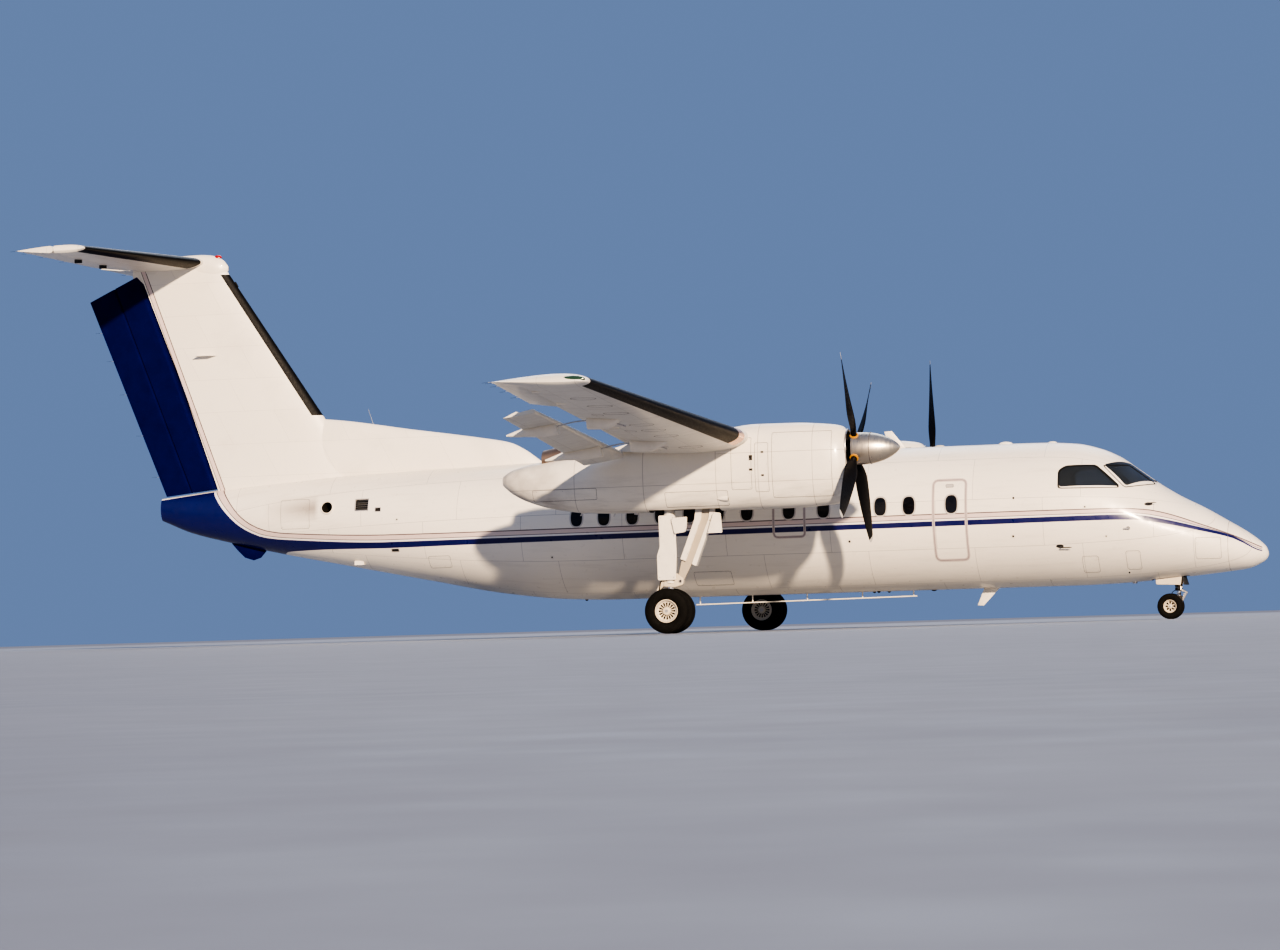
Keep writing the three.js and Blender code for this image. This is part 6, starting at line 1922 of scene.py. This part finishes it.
def cowl_fittings(side, mirror):
    made = Build()
    for face in (-1, 1):
        for front, back, low, high in COWL_PANELS:
            outline = frame_of(front, back, low, high, 0.03)
            skin_band(made, outline, 0.006, SEAM, face, 0.0012, nacelle_skin, -0.005)
            screws(made, inset(outline, 0.03)[::5], face, 0.0016, 0.0065, nacelle_skin)
        for front, back, low, high in COWL_VENTS:
            hole = frame_of(front, back, low, high, 0.006)
            rim = frame_of(front - 0.008, back + 0.008, low - 0.008, high + 0.008, 0.006)
            # A near-black plate fills each vent, painted shade inside it.
            skin_plate(made, hole, SOOT_AND_SHADE, face, 0.0012, (1.0, 0.7, 0.35, 0.04), nacelle_skin)
            skin_band(made, rim, 0.008, WHITE_PART, face, 0.004, nacelle_skin, -0.005)
        cowl_scoop(made, face)
    for station in (8.75, 9.0, 11.0, 11.6):
        drain = P(station, -NACELLE_Y + 0.05, smooth(NACELLE, station, 2) + 0.01)
        made.rod(drain, drain + Vector((-0.03, 0, -0.06)), 0.011, STEEL, segments=12)
    made.rod(P(10.6, -NACELLE_Y, 0.3), P(10.6, -NACELLE_Y, 0.1455), 0.045, STEEL, segments=32)
    made.object(f"cowl_fittings_{side}", angle=FITTING_SHARP, mirror=mirror)


def fin_fittings():
    """Beacon, mast, vanes and a bump on the fin."""
    made = Build()
    cap = smooth(FIN_CAP, 19.62, 1)
    rings = []
    for share in (-0.2, 0.2, 0.5, 0.75, 0.92, 1.0):
        size = math.sqrt(1 - max(0.0, share) ** 2) + 0.03
        rings.append([P(19.64 + 0.075 * size * math.cos(a), 0.055 * size * math.sin(a),
                        cap + 0.05 * share - 0.002)
                      for a in full_turn(28)])
    made.loft(rings, LAMP_RED)
    made.rod(P(16.62, 0, 2.1), P(16.72, 0, 2.42), 0.006, STEEL, 0.003, 10)
    for side in (-1, 1):
        root = [upright_skin(fin_at(3.56), share, side, -0.01) for share in (0.36, 0.475)]
        tip = [root[0] + Vector((-0.14, side * 0.15, 0)), root[1] + Vector((-0.05, side * 0.15, 0))]
        rings = [[p + Vector((0, 0, off)) for p in (root[0], root[1], tip[1], tip[0])]
                 for off in (-0.006, 0.006)]
        made.loft(rings, WHITE_PART)
    top, low = (on_section(fin_at(h), -0.004, 0) for h in (4.95, 4.86))
    made.rod(top, low, 0.02, SEAL, 0.012, 12)
    made.object("tail_fittings", angle=FITTING_SHARP)


def tail_wicks():
    """Static dischargers of the rudder and elevators, and the elevators' hinge fairings."""
    made = Build()
    for height in (1.3, 2.1, 2.9, 3.55, 4.1):
        wick(made, on_section(fin_at(height), 1.0, 0), (-1, 0, 0.02))
    made.object("rudder_wicks", "rudder_rear_body", angle=FITTING_SHARP)
    for side, sign in SIDE_SIGNS:
        made = Build()
        for y in (1.6, 2.6, 3.4, 3.93):
            wick(made, on_section(tail_at(sign * y), 1.0, 0), (-1, 0.0, -0.02))
        for y in (1.3, 2.5):
            s = tail_at(sign * y)
            spot = on_section(s, s["hinge"], -foil(s["thick"], s["hinge"]))
            made.box(spot + Vector((-0.16, -0.014, -0.055)), spot + Vector((-0.02, 0.014, 0.01)), DARK_TRIM_AND_SHADE)
        made.object(f"elevator_wicks_{side}", f"elevator_{side}_body", angle=FITTING_SHARP)


both_sides(wing_fittings)
both_sides(cowl_fittings)
tail_wicks()
fin_fittings()

# Camera, floor and light
CAMERA = {
    "place": (17.33, -71.99, 0.12), "yaw": 13.81, "pitch": 2.18, "roll": -1.65, "lens": 112.69,
    "sensor": 36.0,
}
CLIP_START, CLIP_END = 0.5, 900.0
FLOOR_REACH = 400.0
SKY_COLOR, SKY_STRENGTH = (0.38, 0.56, 1.0, 1), 0.37
CONTRAST = "AgX - High Contrast"
# Name, kind, place, size in metres or a sun's angle in degrees, power and colour of each soft light
LIGHTS = [
    ("key", "SUN", (28, -58, 23.5), 2.0, 6.4, (1.0, 0.78, 0.56)),
    ("fill", "AREA", (-34, -34, 24), 40, 900, (0.85, 0.92, 1.0)),
    ("back", "AREA", (-10, 70, 60), 60, 22000, (0.9, 0.95, 1.0)),
    ("front", "AREA", (46, 10, 12), 30, 1500, (1.0, 0.95, 0.9)),
]


def place_camera():
    """At the photograph's angle, close above the floor. Yaw turns from +Y towards -X."""
    data = bpy.data.cameras.new("camera")
    camera = bpy.data.objects.new("camera", data)
    bpy.context.scene.collection.objects.link(camera)
    yaw, pitch = math.radians(CAMERA["yaw"]), math.radians(CAMERA["pitch"])
    ahead = Vector((-math.sin(yaw) * math.cos(pitch), math.cos(yaw) * math.cos(pitch), math.sin(pitch)))
    roll = Matrix.Rotation(math.radians(CAMERA["roll"]), 4, "Z").to_quaternion()
    camera.location = CAMERA["place"]
    camera.rotation_mode = "QUATERNION"
    camera.rotation_quaternion = ahead.to_track_quat("-Z", "Y") @ roll
    data.sensor_width = CAMERA["sensor"]
    data.lens = CAMERA["lens"]
    data.clip_start, data.clip_end = CLIP_START, CLIP_END
    bpy.context.scene.camera = camera


def floor_and_light():
    net = Net("floor_paint")
    pale = net.mix(net.range(net.noise(0.6, 3.0), 0.3, 0.7), (0.30, 0.32, 0.36), (0.28, 0.30, 0.34))
    floor_paint = net.done(pale, net.range(net.noise(4.0, 3.0), 0.3, 0.7, 0.6, 0.75))
    floor = Build()
    floor.verts = [Vector((x * FLOOR_REACH, y * FLOOR_REACH, 0))
                   for x, y in ((-1, -1), (1, -1), (1, 1), (-1, 1))]
    floor.face((0, 1, 2, 3), floor_paint)
    floor.object("floor", None)
    world = bpy.data.worlds.new("studio")
    bpy.context.scene.world = world
    world.use_nodes = True
    sky = world.node_tree.nodes["Background"]
    sky.inputs["Color"].default_value = SKY_COLOR
    sky.inputs["Strength"].default_value = SKY_STRENGTH
    for name, kind, place, size, power, color in LIGHTS:
        light = bpy.data.lights.new(name, kind)
        if kind == "SUN":
            light.angle = math.radians(size)
        else:
            light.size = size
        light.energy = power
        light.color = color
        lamp_object = bpy.data.objects.new(name, light)
        bpy.context.scene.collection.objects.link(lamp_object)
        lamp_object.location = place
        lamp_object.rotation_mode = "QUATERNION"
        lamp_object.rotation_quaternion = (Vector((0, 0, 2)) - Vector(place)).to_track_quat("-Z", "Y")


place_camera()
floor_and_light()
bpy.context.scene.view_settings.look = CONTRAST
